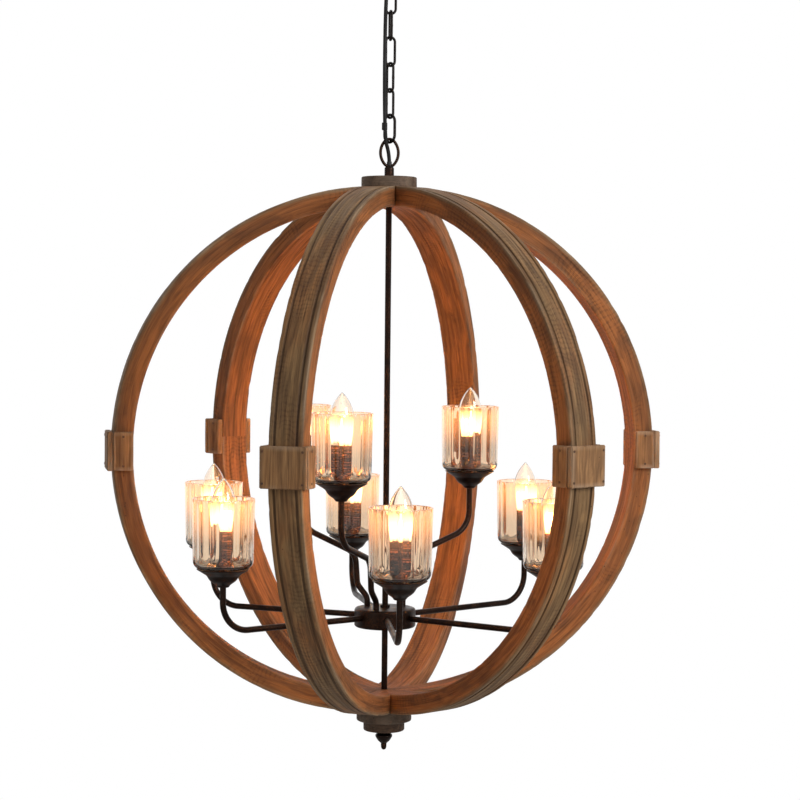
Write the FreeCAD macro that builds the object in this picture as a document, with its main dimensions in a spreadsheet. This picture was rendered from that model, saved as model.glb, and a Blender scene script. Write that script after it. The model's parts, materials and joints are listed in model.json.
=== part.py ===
import FreeCAD, Part
import math
import os

import Sketcher
from FreeCAD import Placement, Rotation, Vector

# Orb chandelier: six mitred wooden half ribs round a hollow rod, nine candle lamps on a hub,
# hung by a quick link and five chain links from a ceiling canopy.
# Millimetres and degrees, +Z up. The origin is on the ceiling, over the middle of the orb.
# Bearings turn anticlockwise from +X, seen from above.

document = FreeCAD.newDocument("orb_chandelier")

# ------------------------------------------------------------------ driving sizes
SIZES = {
    # ribs
    "orb_radius": 400,  # axis to a rib's outer face, half way up the orb
    "rib_arc_offset": 17,  # axis to the centre of a rib's arcs, on the rib's own side
    "rib_width": 47.4,
    "rib_thickness": 29,
    "rib_groove_inset": 8,  # long edge to the middle of the groove beside it
    "rib_groove_width": 2,
    "rib_groove_depth": 2,
    "rib_bearing": 10.9,  # the first rib; the others follow every 60 degrees
    "pole_flat": 0.8,  # depth of the flat under the top and bottom discs
    # cleats over the rib joints
    "cleat_width": 64.5,
    "cleat_height": 55.7,
    "board_thickness": 8.4,
    "nail_diameter": 1.8,
    "nail_head_diameter": 3.4,
    "nail_head_height": 0.5,
    "nail_length": 22,
    "nail_inset": 7,
    # turned wood at the poles
    "disc_diameter": 81,
    "disc_thickness": 15.3,
    "cap_height": 31.8,
    "cap_step_height": 14.5,
    "cap_step_diameter": 60.5,
    "finial_height": 30,
    "finial_diameter": 25,
    "finial_tip_radius": 3.6,
    # tube stock of the rod and the arms, and the nuts that fit it
    "tube_diameter": 8.8,
    "tube_bore": 6.2,
    "hole_clearance": 0.1,  # on the radius, round a tube or a nipple
    "nut_across_flats": 12,
    "nut_height": 4,
    # hub
    "hub_diameter": 90,
    "hub_height": 26,
    "hub_wall": 1.5,
    "hub_edge_radius": 5,
    "hub_cover_thickness": 2,
    "hub_drop": 246,  # orb centre down to the lower arms
    "connector_diameter": 9,
    "connector_length": 17,
    # lower arms
    "lower_reach": 282,
    "lower_rim_drop": 157,  # orb centre down to the rims of the cups
    "lower_bend_radius": 42,
    "lower_bearing_1": 40,
    "lower_bearing_2": 101,
    "lower_bearing_3": 158,
    "lower_bearing_4": 217,
    "lower_bearing_5": 274,
    "lower_bearing_6": 326,
    # upper arms
    "upper_reach": 160,
    "upper_rim_drop": 38,
    "upper_root_radius": 33,
    "upper_root_rise": 12,
    "upper_knee_radius": 52,
    "upper_knee_rise": 30,
    "upper_crook_radius": 56,
    "upper_crook_rise": 76,
    "upper_elbow_rise": 108,
    "upper_root_bend": 14,
    "upper_crook_bend": 22,
    "upper_elbow_bend": 38,
    "upper_bearing_1": 38,
    "upper_bearing_2": 143,
    "upper_bearing_3": 247,
    # lamp: cup, sleeve, socket, shade and bulb, measured from the rim of the cup
    "cup_radius": 36.8,
    "cup_shoulder_radius": 22.8,
    "cup_shoulder_depth": 9.6,
    "cup_bowl_radius": 19,
    "cup_bowl_depth": 16,
    "cup_foot_radius": 8,
    "cup_depth": 26,
    "cup_wall": 1.2,
    "sleeve_diameter": 21,
    "sleeve_wall": 0.9,
    "sleeve_rise": 52.5,
    "socket_diameter": 18.2,
    "socket_rise": 50.5,
    "socket_depth": 18.5,
    "socket_leg_diameter": 13,
    "shade_diameter": 88,
    "shade_foot_diameter": 84,
    "shade_height": 98,
    "shade_wall": 3.2,
    "shade_floor": 4,
    "shade_corner": 12,
    "shade_lift": 0.3,  # the shade's floor over the rim of the cup
    "flute_count": 16,
    "flute_radius": 7,
    "flute_depth": 1.3,
    "bulb_diameter": 35,
    "bulb_rise": 126.5,
    "bulb_tip_radius": 2,
    "bulb_cap_diameter": 11.6,
    "bulb_neck_diameter": 15,
    "lamp_clearance": 0.3,
    # chain
    "link_length": 45.5,
    "link_width": 18.3,
    "link_wire": 3.8,
    "quick_length": 44,
    "quick_width": 25,
    "quick_wire": 4.2,
    "quick_nut_length": 11,
    "quick_nut_across_flats": 7.5,
    "quick_gap": 5,
    "quick_gap_drop": 1,  # end of the straight side down to the gap that the nut covers
    "quick_nut_drop": 0.2,
    "wire_gap": 0.3,  # between two wires that hang in each other
    "loop_height": 44,
    "loop_width": 31.3,
    "loop_wire": 4.4,
    "loop_tip_radius": 9.5,
    "collar_diameter": 14,
    "collar_height": 13.3,
    "collar_thread_depth": 9.5,
    "bushing_diameter": 7.4,
    "bushing_height": 12,
    "cord_diameter": 5.6,
    "cord_side": 13,  # cord's centre to the chain's axis, beside the chain
    "cord_bearing": 232,
    # ceiling fitting
    "canopy_diameter": 127,
    "canopy_height": 28,
    "canopy_wall": 1.2,
    "strap_length": 108,
    "strap_width": 20,
    "strap_thickness": 2,
    "strap_hole_spacing": 88.9,
    "strap_hole_diameter": 4.8,
    "nipple_diameter": 9.6,
}
# Heights from the ceiling and a few lengths that several pieces share.
PLACES = {
    "loop_centre_line": "Sizes.loop_height - Sizes.loop_wire",
    "canopy_loop_tip": "-Sizes.canopy_height - Sizes.collar_height - Sizes.loop_height"
    " + Sizes.loop_wire / 2",
    "link_centre_line": "Sizes.link_length - Sizes.link_wire",
    "link_pitch": "Sizes.link_length - 2 * Sizes.link_wire - Sizes.wire_gap",
    "first_link": "canopy_loop_tip + (Sizes.loop_wire + Sizes.link_wire) / 2 + Sizes.wire_gap"
    " - link_centre_line / 2",
    "last_link": "first_link - 4 * link_pitch",
    "quick_centre_line": "Sizes.quick_length - Sizes.quick_wire",
    "quick_link": "last_link - link_centre_line / 2 + (Sizes.link_wire + Sizes.quick_wire) / 2"
    " + Sizes.wire_gap - quick_centre_line / 2",
    "top_loop_tip": "quick_link - quick_centre_line / 2"
    " + (Sizes.quick_wire + Sizes.loop_wire) / 2 + Sizes.wire_gap",
    "arc_radius": "Sizes.orb_radius - Sizes.rib_arc_offset",
    "pole_height": "arc_radius - Sizes.pole_flat",
    "disc_top": "pole_height + Sizes.disc_thickness",
    "orb_centre": "top_loop_tip + Sizes.loop_wire / 2 - Sizes.loop_height"
    " - Sizes.collar_height - disc_top",
    "lower_rim": "orb_centre - Sizes.lower_rim_drop",
    "upper_rim": "orb_centre - Sizes.upper_rim_drop",
    "hub_top": "-Sizes.hub_drop + Sizes.hub_height / 2",
    "hub_floor": "-Sizes.hub_drop - Sizes.hub_height / 2",
    "tube_hole": "Sizes.tube_diameter / 2 + Sizes.hole_clearance",
    "arm_top": "-Sizes.cup_depth + 16",
}
LINK_BEARINGS = (10, 102, 27, 128, 48)  # each link's width, from the canopy down
QUICK_BEARING = -45
TOP_LOOP_BEARING = 15
CANOPY_LOOP_BEARING = -62
LOWER_LAMPS = 6
UPPER_LAMPS = 3


def make_sheet(name, values):
    """A sheet with one named cell for each value."""
    made = document.addObject("Spreadsheet::Sheet", name)
    for row, (alias, value) in enumerate(values.items(), start=1):
        made.set(f"A{row}", alias)
        made.setAlias(f"B{row}", alias)
        made.set(f"B{row}", str(value) if name == "Sizes" else f"={value}")
    document.recompute()
    return made


sizes = make_sheet("Sizes", SIZES)
places = make_sheet("Places", PLACES)


def number(expression):
    """The value of an expression over the two sheets."""
    return float(sizes.evalExpression(str(expression)))


def size(alias):
    return float(sizes.get(alias))


def place(alias):
    return float(places.get(alias))


# ------------------------------------------------------------------ drawing helpers
def new_body(label):
    body = document.addObject("PartDesign::Body", label)
    body.Label = label
    return body


def new_sketch(body, role, offset=None):
    """A sketch on one of the body's own origin planes, moved by offset within its frame."""
    sketch = body.newObject("Sketcher::SketchObject", "outline")
    plane = next(f for f in body.Origin.OriginFeatures if f.Role == role)
    sketch.AttachmentSupport = [(plane, "")]
    sketch.MapMode = "FlatFace"
    for axis, expression in (offset or {}).items():
        sketch.setExpression(f"AttachmentOffset.Base.{axis}", expression)
    return sketch


def tie(sketch, kind, *references):
    """A dimension whose value, the last reference, is an expression."""
    *geometry, expression = references
    index = sketch.addConstraint(Sketcher.Constraint(kind, *geometry, number(expression)))
    sketch.setExpression(f"Constraints[{index}]", str(expression))


def tie_point(sketch, geometry, position, corner):
    tie(sketch, "DistanceX", -1, 1, geometry, position, corner[0])
    tie(sketch, "DistanceY", -1, 1, geometry, position, corner[1])


def arc_between(start, end, radius):
    """The short arc from start to end, with its centre on the left for a positive radius."""
    chord = end - start
    rise = math.sqrt(radius**2 - (chord.Length / 2) ** 2) * math.copysign(1, radius)
    centre = (start + end) / 2 + Vector(-chord.y, chord.x, 0) * (rise / chord.Length)
    first, last = (start, end) if radius > 0 else (end, start)
    begin = math.atan2(first.y - centre.y, first.x - centre.x)
    finish = math.atan2(last.y - centre.y, last.x - centre.x)
    if finish < begin:
        finish += 2 * math.pi
    circle = Part.Circle(centre, Vector(0, 0, 1), abs(radius))
    return Part.ArcOfCircle(circle, begin, finish)


def draw_outline(sketch, corners):
    """A closed outline. A corner is (x, y), or (x, y, radius) where the side that ends there is
    an arc: a positive radius has its centre on the left of the way it is drawn."""
    points = [Vector(number(c[0]), number(c[1]), 0) for c in corners]
    first = sketch.GeometryCount
    ends = []
    for i, corner in enumerate(corners):
        radius = number(corner[2]) if len(corner) > 2 else None
        if radius is None:
            geometry = sketch.addGeometry(Part.LineSegment(points[i - 1], points[i]))
        else:
            geometry = sketch.addGeometry(arc_between(points[i - 1], points[i], radius))
        ends.append((1, 2) if radius is None or radius > 0 else (2, 1))
        if radius is not None:
            tie(sketch, "Radius", geometry, f"abs({corner[2]})")
    for i, corner in enumerate(corners):
        after = (i + 1) % len(corners)
        side, end = first + i, ends[i][1]
        sketch.addConstraint(
            Sketcher.Constraint("Coincident", side, end, first + after, ends[after][0])
        )
        tie_point(sketch, side, end, corner)


def draw_circle(sketch, centre, radius):
    at = Vector(number(centre[0]), number(centre[1]), 0)
    circle = Part.Circle(at, Vector(0, 0, 1), number(radius))
    geometry = sketch.addGeometry(circle)
    tie_point(sketch, geometry, 3, centre)
    tie(sketch, "Radius", geometry, radius)


def draw_bent_line(sketch, corners, radii):
    """An open route: straight runs between the corners, joined by tangent arcs."""
    points = [Vector(number(x), number(y), 0) for x, y in corners]
    trims = [0.0]
    for i, radius in enumerate(radii, start=1):
        before, after = points[i] - points[i - 1], points[i + 1] - points[i]
        trims.append(number(radius) * math.tan(before.getAngle(after) / 2))
    trims.append(0.0)
    marks = [sketch.addGeometry(Part.Point(p), True) for p in points]
    for mark, corner in zip(marks, corners):
        tie_point(sketch, mark, 1, corner)
    runs = []
    for i in range(len(points) - 1):
        along = (points[i + 1] - points[i]).normalize()
        start = points[i] + along * trims[i]
        end = points[i + 1] - along * trims[i + 1]
        runs.append(sketch.addGeometry(Part.LineSegment(start, end)))
        for mark in marks[i : i + 2]:
            if mark not in (marks[0], marks[-1]):
                sketch.addConstraint(Sketcher.Constraint("PointOnObject", mark, 1, runs[-1]))
    sketch.addConstraint(Sketcher.Constraint("Coincident", runs[0], 1, marks[0], 1))
    sketch.addConstraint(Sketcher.Constraint("Coincident", runs[-1], 2, marks[-1], 1))
    for i, radius in enumerate(radii):
        start = sketch.Geometry[runs[i]].EndPoint
        end = sketch.Geometry[runs[i + 1]].StartPoint
        before, after = points[i + 1] - points[i], points[i + 2] - points[i + 1]
        side = math.copysign(1, before.cross(after).z)
        bend = sketch.addGeometry(arc_between(start, end, side * number(radius)))
        near, far = (1, 2) if side > 0 else (2, 1)
        sketch.addConstraint(Sketcher.Constraint("Tangent", runs[i], 2, bend, near))
        sketch.addConstraint(Sketcher.Constraint("Tangent", bend, far, runs[i + 1], 1))
        tie(sketch, "Radius", bend, radius)


def add_feature(body, kind, sketch, reversed_way=False, **bound):
    """A feature made from a sketch, its properties bound to expressions."""
    feature = body.newObject(f"PartDesign::{kind}", kind.lower())
    feature.Profile = sketch
    if kind in ("Revolution", "Groove"):
        feature.ReferenceAxis = (sketch, ["V_Axis"])
    feature.Reversed = reversed_way
    for name, expression in bound.items():
        feature.setExpression(name, str(expression))
    document.recompute()
    return feature


def cut_feature(body, sketch, reversed_way=False, **bound):
    """A pocket, which has to take something away."""
    before = body.Shape.Volume
    feature = add_feature(body, "Pocket", sketch, reversed_way, **bound)
    if not feature.Shape.Volume < before - 1e-6:
        raise RuntimeError(f"a pocket in {body.Label} cuts nothing")
    return feature


def repeat_round(body, feature, count):
    pattern = body.newObject("PartDesign::PolarPattern", "ring")
    pattern.Originals = [feature] if not isinstance(feature, list) else feature
    axis = next(f for f in body.Origin.OriginFeatures if f.Role == "Z_Axis")
    pattern.Axis = (axis, [""])
    pattern.Angle = 360
    pattern.setExpression("Occurrences", str(count))
    body.Tip = pattern
    document.recompute()
    return pattern


def turned(label, corners):
    """A body turned about Z from an outline in radius and height."""
    body = new_body(label)
    sketch = new_sketch(body, "XZ_Plane")
    draw_outline(sketch, corners)
    add_feature(body, "Revolution", sketch, Angle=360)
    return body


def at(item, base=(0, 0, 0), bearing=0):
    """Puts an item at a point, turned to a bearing about Z."""
    item.Placement = Placement(Vector(*base), Rotation(Vector(0, 0, 1), bearing))
    return item


def polar(radius, bearing, height=0.0):
    angle = math.radians(bearing)
    return Vector(radius * math.cos(angle), radius * math.sin(angle), height)


def primitive(kind, placement=None, **bound):
    """A Part primitive with its sizes bound to expressions."""
    item = document.addObject(f"Part::{kind}", kind.lower())
    for name, expression in bound.items():
        item.setExpression(name, str(expression))
    if placement is not None:
        item.Placement = placement
    return item


def joined(label, shapes):
    item = document.addObject("Part::MultiFuse", label)
    item.Shapes = shapes
    item.Label = label
    return item


def cut(label, base, tool):
    item = document.addObject("Part::Cut", label)
    item.Base = base
    item.Tool = tool
    item.Label = label
    return item


def together(label, items):
    """Separate solids that share one node."""
    item = document.addObject("Part::Compound", label)
    item.Links = items
    item.Label = label
    return item


def copies(label, master, placements):
    """Identical pieces that share one node: the master's shape at each placement."""
    document.recompute()
    shapes = []
    for placement in placements:
        shape = master.Shape.copy()
        shape.Placement = placement.multiply(master.Placement)
        shapes.append(shape)
    item = document.addObject("Part::Feature", label)
    item.Label = label
    item.Shape = Part.makeCompound(shapes)
    item.Placement = Placement()
    return item


# ------------------------------------------------------------------ where the lamps stand
orb = Vector(0, 0, place("orb_centre"))
lower_bearings = [size(f"lower_bearing_{i}") for i in range(1, LOWER_LAMPS + 1)]
upper_bearings = [size(f"upper_bearing_{i}") for i in range(1, UPPER_LAMPS + 1)]
lamps = [(polar(size("lower_reach"), b, place("lower_rim")), b) for b in lower_bearings]
lamps += [(polar(size("upper_reach"), b, place("upper_rim")), b) for b in upper_bearings]
lamp_places = [Placement(point, Rotation(Vector(0, 0, 1), b)) for point, b in lamps]
nodes = []


# ------------------------------------------------------------------ ceiling fitting
def make_ceiling_fitting():
    """A strap screwed to the ceiling, a threaded nipple, and the canopy over them."""
    strap_plate = primitive(
        "Box",
        Length="Sizes.strap_length",
        Width="Sizes.strap_width",
        Height="Sizes.strap_thickness",
    )
    strap_plate.setExpression("Placement.Base.x", "-Sizes.strap_length / 2")
    strap_plate.setExpression("Placement.Base.y", "-Sizes.strap_width / 2")
    strap_plate.setExpression("Placement.Base.z", "-Sizes.strap_thickness")
    holes = []
    for side in (-0.5, 0.5):
        hole = primitive(
            "Cylinder",
            Radius="Sizes.strap_hole_diameter / 2",
            Height="2 * Sizes.strap_thickness",
        )
        hole.setExpression("Placement.Base.x", f"{side} * Sizes.strap_hole_spacing")
        hole.setExpression("Placement.Base.z", "-1.5 * Sizes.strap_thickness")
        holes.append(hole)
    thread = primitive(
        "Cylinder",
        Radius="Sizes.nipple_diameter / 2 + Sizes.hole_clearance / 2",
        Height="2 * Sizes.strap_thickness",
    )
    thread.setExpression("Placement.Base.z", "-1.5 * Sizes.strap_thickness")
    strap = cut("mounting_strap", strap_plate, joined("strap_holes", [*holes, thread]))

    top = "Sizes.canopy_diameter / 2"
    canopy = turned(
        "ceiling_canopy",
        [
            ("Sizes.nipple_diameter / 2 + Sizes.hole_clearance", "-Sizes.canopy_height"),
            (f"{top} - 22", "-Sizes.canopy_height"),
            (f"{top} - 6", "-Sizes.canopy_height + 7", 20),
            (f"{top}", "-2", 60),
            (f"{top}", "0"),
            (f"{top} - Sizes.canopy_wall", "0"),
            (f"{top} - Sizes.canopy_wall", "-2"),
            (f"{top} - 6 - Sizes.canopy_wall", "-Sizes.canopy_height + 7.6", -60),
            (f"{top} - 22", "-Sizes.canopy_height + Sizes.canopy_wall", -19),
            (
                "Sizes.nipple_diameter / 2 + Sizes.hole_clearance",
                "-Sizes.canopy_height + Sizes.canopy_wall",
            ),
        ],
    )
    reach = "Sizes.canopy_height + Sizes.collar_thread_depth - 0.5"
    outer = primitive("Cylinder", Radius="Sizes.nipple_diameter / 2", Height=reach)
    bore = primitive("Cylinder", Radius="Sizes.tube_bore / 2", Height=reach)
    for tube in (outer, bore):
        tube.setExpression("Placement.Base.z", f"-({reach})")
    nodes.extend([canopy, strap, cut("canopy_nipple", outer, bore)])


def loop_casting(label, thread_diameter):
    """An oval eye on a threaded collar, standing up from the collar's foot at its origin."""
    half_width = (size("loop_width") - size("loop_wire")) / 2
    half_height = place("loop_centre_line") / 2
    tip = size("loop_tip_radius")
    rise = half_height - tip
    flank = (half_width**2 + rise**2 - tip**2) / (2 * (half_width - tip))
    middle = size("collar_height") + size("loop_height") / 2
    turn = math.atan2(rise, flank - half_width)

    def on_arc(centre_x, centre_z, radius, angle):
        return Vector(
            centre_x + radius * math.cos(angle), 0, middle + centre_z + radius * math.sin(angle)
        )

    edges = []
    for sign in (1, -1):
        angles = (turn, math.pi / 2, math.pi - turn)
        edges.append(
            Part.Arc(*[on_arc(0, sign * rise, tip, sign * a) for a in angles]).toShape()
        )
        side = sign * (half_width - flank)
        shift = 0 if sign > 0 else math.pi
        angles = (shift - turn, shift, shift + turn)
        edges.append(Part.Arc(*[on_arc(side, 0, flank, a) for a in angles]).toShape())
    oval = Part.Wire(Part.__sortEdges__(edges))
    start = oval.OrderedEdges[0]
    section = Part.Wire(
        Part.makeCircle(
            size("loop_wire") / 2,
            start.valueAt(start.FirstParameter),
            start.tangentAt(start.FirstParameter),
        )
    )
    eye = oval.makePipeShell([section], True, False)
    foot = size("collar_height") + size("loop_wire")
    collar = Part.makeCylinder(size("collar_diameter") / 2, size("collar_height"))
    root = Part.makeCone(
        size("collar_diameter") / 2,
        size("loop_wire") / 2 + 1.5,
        size("loop_wire") * 0.9,
        Vector(0, 0, size("collar_height")),
    )
    bore = Part.makeCylinder(size("bushing_diameter") / 2, 2 * foot)
    thread = Part.makeCylinder(
        thread_diameter / 2 + size("hole_clearance") / 2, size("collar_thread_depth")
    )
    item = document.addObject("Part::Feature", label)
    item.Label = label
    item.Shape = collar.fuse([root, eye]).cut([bore, thread]).removeSplitter()
    return item


def make_loops():
    """The same casting hangs from the canopy and stands on the orb, where it has a bushing."""
    upside_down = Rotation(Vector(1, 0, 0), 180)
    canopy_loop = loop_casting("canopy_loop", size("nipple_diameter"))
    canopy_loop.Placement = Placement(
        Vector(0, 0, -size("canopy_height")),
        Rotation(Vector(0, 0, 1), CANOPY_LOOP_BEARING).multiply(upside_down),
    )
    collar_foot = orb + Vector(0, 0, place("disc_top"))
    top_loop = at(
        loop_casting("top_loop", size("tube_diameter")), collar_foot, TOP_LOOP_BEARING
    )
    bore = "Sizes.cord_diameter / 2 + Sizes.hole_clearance"
    outside = "Sizes.bushing_diameter / 2 - Sizes.hole_clearance / 2"
    bushing = turned(
        "top_bushing",
        [
            (bore, "0"),
            (outside, "0"),
            (outside, "Sizes.bushing_height"),
            (bore, "Sizes.bushing_height"),
        ],
    )
    at(bushing, collar_foot + Vector(0, 0, size("collar_thread_depth") + 1))
    nodes.extend([canopy_loop, top_loop, bushing])


# ------------------------------------------------------------------ chain
def wire_link(label, length, width, wire, gapped=False):
    """A link in the XZ plane: two half rings and two straight sides."""
    bend = f"({width} - {wire}) / 2"
    straight = f"({length} - {width})"
    parts = []
    for end, tilt in ((0.5, 90), (-0.5, -90)):
        ring = primitive("Torus", Radius1=bend, Radius2=f"{wire} / 2", Angle3="180")
        ring.Placement = Placement(Vector(), Rotation(Vector(1, 0, 0), tilt))
        ring.setExpression("Placement.Base.z", f"{end} * {straight}")
        parts.append(ring)
    for side in (-1, 1):
        bar = primitive("Cylinder", Radius=f"{wire} / 2", Height=straight)
        bar.setExpression("Placement.Base.x", f"{side} * {bend}")
        bar.setExpression("Placement.Base.z", f"-0.5 * {straight}")
        parts.append(bar)
    if not gapped:
        return joined(label, parts)
    gap = primitive("Box", Length=f"2 * {wire}", Width=f"2 * {wire}", Height="Sizes.quick_gap")
    gap.setExpression("Placement.Base.x", f"-{bend} - {wire}")
    gap.setExpression("Placement.Base.y", f"-{wire}")
    gap.setExpression("Placement.Base.z", f"0.5 * {straight} - Sizes.quick_gap_drop - Sizes.quick_gap")
    return cut(label, joined("quick_link_wire", parts), gap)


def make_chain():
    """Five welded links and the quick link below them, with its sleeve nut over the opening."""
    for i, bearing in enumerate(LINK_BEARINGS):
        link = wire_link(
            f"chain_link_{i + 1}", "Sizes.link_length", "Sizes.link_width", "Sizes.link_wire"
        )
        at(link, (0, 0, place("first_link") - i * place("link_pitch")), bearing)
        nodes.append(link)
    quick = wire_link(
        "quick_link", "Sizes.quick_length", "Sizes.quick_width", "Sizes.quick_wire", True
    )
    at(quick, (0, 0, place("quick_link")), QUICK_BEARING)
    across = "Sizes.quick_nut_across_flats"
    hexagon = primitive("Prism", Circumradius=f"{across} / 3^0.5", Height="Sizes.quick_nut_length")
    hexagon.Polygon = 6
    bore = primitive(
        "Cylinder",
        Radius="Sizes.quick_wire / 2 + Sizes.hole_clearance / 2",
        Height="Sizes.quick_nut_length",
    )
    nut = cut("quick_link_nut", hexagon, bore)
    side = -(size("quick_width") - size("quick_wire")) / 2
    top = (size("quick_length") - size("quick_width")) / 2 - size("quick_nut_drop")
    base = polar(side, QUICK_BEARING, place("quick_link") + top - size("quick_nut_length"))
    at(nut, base, QUICK_BEARING)
    nodes.extend([quick, nut])


# The cord's route: out of the canopy loop, beside the chain, and into the top loop's bushing.
# Each point is its share of cord_side away from the axis, and its height over or under an end.
CORD_TOP = ((0, 2), (0, -15), (1, -39))  # from the mouth of the canopy loop's bore
CORD_BOTTOM = ((1, 40), (0, 16), (0, -1))  # from the mouth of the top loop's bore


def cord_points():
    mouth = size("collar_height") + size("loop_wire")
    upper = -size("canopy_height") - mouth
    lower = place("orb_centre") + place("disc_top") + mouth
    points = []
    for end, route in ((upper, CORD_TOP), (lower, CORD_BOTTOM)):
        for share, height in route:
            points.append(polar(share * size("cord_side"), size("cord_bearing"), end + height))
    return points


def make_cord():
    """The supply cord as a plain tube: straight runs joined by tangent arcs."""
    points = cord_points()
    turns, radii = [], []
    for before, here, after in zip(points, points[1:], points[2:]):
        turn = (here - before).getAngle(after - here)
        shorter = min((here - before).Length, (after - here).Length)
        turns.append(turn)
        radii.append(0.45 * shorter / math.tan(turn / 2))
    print("cord radii", [round(r, 1) for r in radii])
    edges, start = [], points[0]
    for i, (turn, radius) in enumerate(zip(turns, radii), start=1):
        into = (points[i] - points[i - 1]).normalize()
        out = (points[i + 1] - points[i]).normalize()
        trim = radius * math.tan(turn / 2)
        begin, end = points[i] - into * trim, points[i] + out * trim
        inward = (out - into).normalize()
        middle = points[i] + inward * (radius / math.cos(turn / 2) - radius)
        edges.append(Part.makeLine(start, begin))
        edges.append(Part.Arc(begin, middle, end).toShape())
        start = end
    edges.append(Part.makeLine(start, points[-1]))
    route = Part.Wire(edges)
    radius = size("cord_diameter") / 2
    section = Part.Wire(Part.makeCircle(radius, points[0], points[1] - points[0]))
    cord = document.addObject("Part::Feature", "supply_cord")
    cord.Label = "supply_cord"
    cord.Shape = route.makePipeShell([section], True, False)
    expected = math.pi * radius**2 * route.Length
    print("cord length", round(route.Length, 1), "volume ratio", cord.Shape.Volume / expected)
    nodes.append(cord)


# ------------------------------------------------------------------ ribs and cleats
def make_quarter_rib(label, upwards):
    """A quarter ring from the joint half way up to the pole, where it is mitred to a point."""
    body = new_body(label)
    section = new_sketch(body, "XY_Plane", {"x": "Sizes.rib_arc_offset"})
    outer, inner = "Places.arc_radius", "Places.arc_radius - Sizes.rib_thickness"
    edge = "Sizes.rib_width / 2"
    near = f"{edge} - Sizes.rib_groove_inset + Sizes.rib_groove_width / 2"
    far = f"{edge} - Sizes.rib_groove_inset - Sizes.rib_groove_width / 2"
    floor = f"{outer} - Sizes.rib_groove_depth"
    half = [(f"{outer} - 1.5", edge), (outer, f"{edge} - 1.5")]
    half += [(outer, near), (floor, near), (floor, far), (outer, far)]
    mirrored = [(x, f"-({y})") for x, y in reversed(half)]
    corners = [(inner, f"-({edge})"), (inner, edge), *half, *mirrored]
    draw_outline(section, corners)
    beyond = "asin(Sizes.rib_arc_offset / (Places.arc_radius - Sizes.rib_thickness - 2))"
    add_feature(body, "Revolution", section, reversed_way=upwards, Angle=f"90 deg + {beyond}")
    # what lies outside the rib's own sixth of the pole
    mitre = new_sketch(body, "XY_Plane")
    reach, spread = "1.3 * Sizes.rib_width", "1.3 * Sizes.rib_width * tan(30 deg)"
    corners = [("0", "0"), (reach, spread), (reach, reach), (f"-{reach}", reach)]
    corners += [(f"-{reach}", f"-{reach}"), (reach, f"-{reach}"), (reach, f"-{spread}")]
    draw_outline(mitre, corners)
    depth = "2 * Places.arc_radius"
    cut_feature(body, mitre, reversed_way=upwards, Length=depth)
    hole = new_sketch(body, "XY_Plane")
    draw_circle(hole, ("0", "0"), "Places.tube_hole")
    cut_feature(body, hole, reversed_way=upwards, Length=depth)
    sign = "" if upwards else "-"
    seat = new_sketch(body, "XY_Plane", {"z": f"{sign}Places.pole_height"})
    draw_circle(seat, ("0", "0"), "Sizes.disc_diameter / 2 + 1")
    cut_feature(body, seat, reversed_way=upwards, Length="20")
    return body


def make_ribs():
    for i in range(6):
        halves = [
            make_quarter_rib(f"upper_quarter_{i + 1}", True),
            make_quarter_rib(f"lower_quarter_{i + 1}", False),
        ]
        rib = together(f"rib_{i + 1}", halves)
        nodes.append(at(rib, orb, size("rib_bearing") + 60 * i))


def pad_board(label, outline, depth, plane, offset):
    """One board of a cleat, repeated at each rib."""
    body = new_body(label)
    sketch = new_sketch(body, plane, offset)
    draw_outline(sketch, outline)
    pad = add_feature(body, "Pad", sketch, Length=depth)
    repeat_round(body, pad, 6)
    return body


def rectangle(low, high):
    return [(low[0], low[1]), (high[0], low[1]), (high[0], high[1]), (low[0], high[1])]


def make_cleats():
    """Over each joint: a face board nailed across the ends of two cheeks."""
    half_width, half_height = "Sizes.cleat_width / 2", "Sizes.cleat_height / 2"
    face = pad_board(
        "cleat_face_boards",
        rectangle((f"-{half_width}", f"-{half_height}"), (half_width, half_height)),
        "Sizes.board_thickness",
        "YZ_Plane",
        {"z": "Sizes.orb_radius"},
    )
    inner = "Sizes.orb_radius - Sizes.rib_thickness"
    cheeks = []
    for name, edge in (
        ("left", f"-{half_width}"),
        ("right", "Sizes.rib_width / 2"),
    ):
        width = f"({half_width} - Sizes.rib_width / 2)"
        outline = rectangle((inner, edge), ("Sizes.orb_radius", f"{edge} + {width}"))
        cheeks.append(
            pad_board(
                f"{name}_cheeks",
                outline,
                "Sizes.cleat_height",
                "XY_Plane",
                {"z": f"-{half_height}"},
            )
        )
    boards = together("equator_cleats", [face, *cheeks])
    nodes.append(at(boards, orb, size("rib_bearing")))

    shank = primitive("Cylinder", Radius="Sizes.nail_diameter / 2", Height="Sizes.nail_length")
    head = primitive(
        "Cylinder", Radius="Sizes.nail_head_diameter / 2", Height="Sizes.nail_head_height"
    )
    head.setExpression("Placement.Base.z", "Sizes.nail_length")
    nail = joined("nail", [shank, head])
    face_radius = size("orb_radius") + size("board_thickness")
    start = face_radius - size("nail_length")
    side = (size("rib_width") / 2 + size("cleat_width") / 2) / 2
    height = size("cleat_height") / 2 - size("nail_inset")
    cheek_depth = size("orb_radius") - size("rib_thickness") / 2
    placements = []
    for i in range(6):
        turn = Rotation(Vector(0, 0, 1), size("rib_bearing") + 60 * i)
        for y in (-side, side):
            for z in (-height, height):
                point = orb + turn.multVec(Vector(start, y, z))
                out = turn.multiply(Rotation(Vector(0, 1, 0), 90))
                placements.append(Placement(point, out))
                sign = math.copysign(1, y)
                foot = sign * (size("cleat_width") / 2 - size("nail_length"))
                point = orb + turn.multVec(Vector(cheek_depth, foot, z))
                out = turn.multiply(Rotation(Vector(1, 0, 0), -90 * sign))
                placements.append(Placement(point, out))
    nodes.append(copies("cleat_nails", nail, placements))


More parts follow.
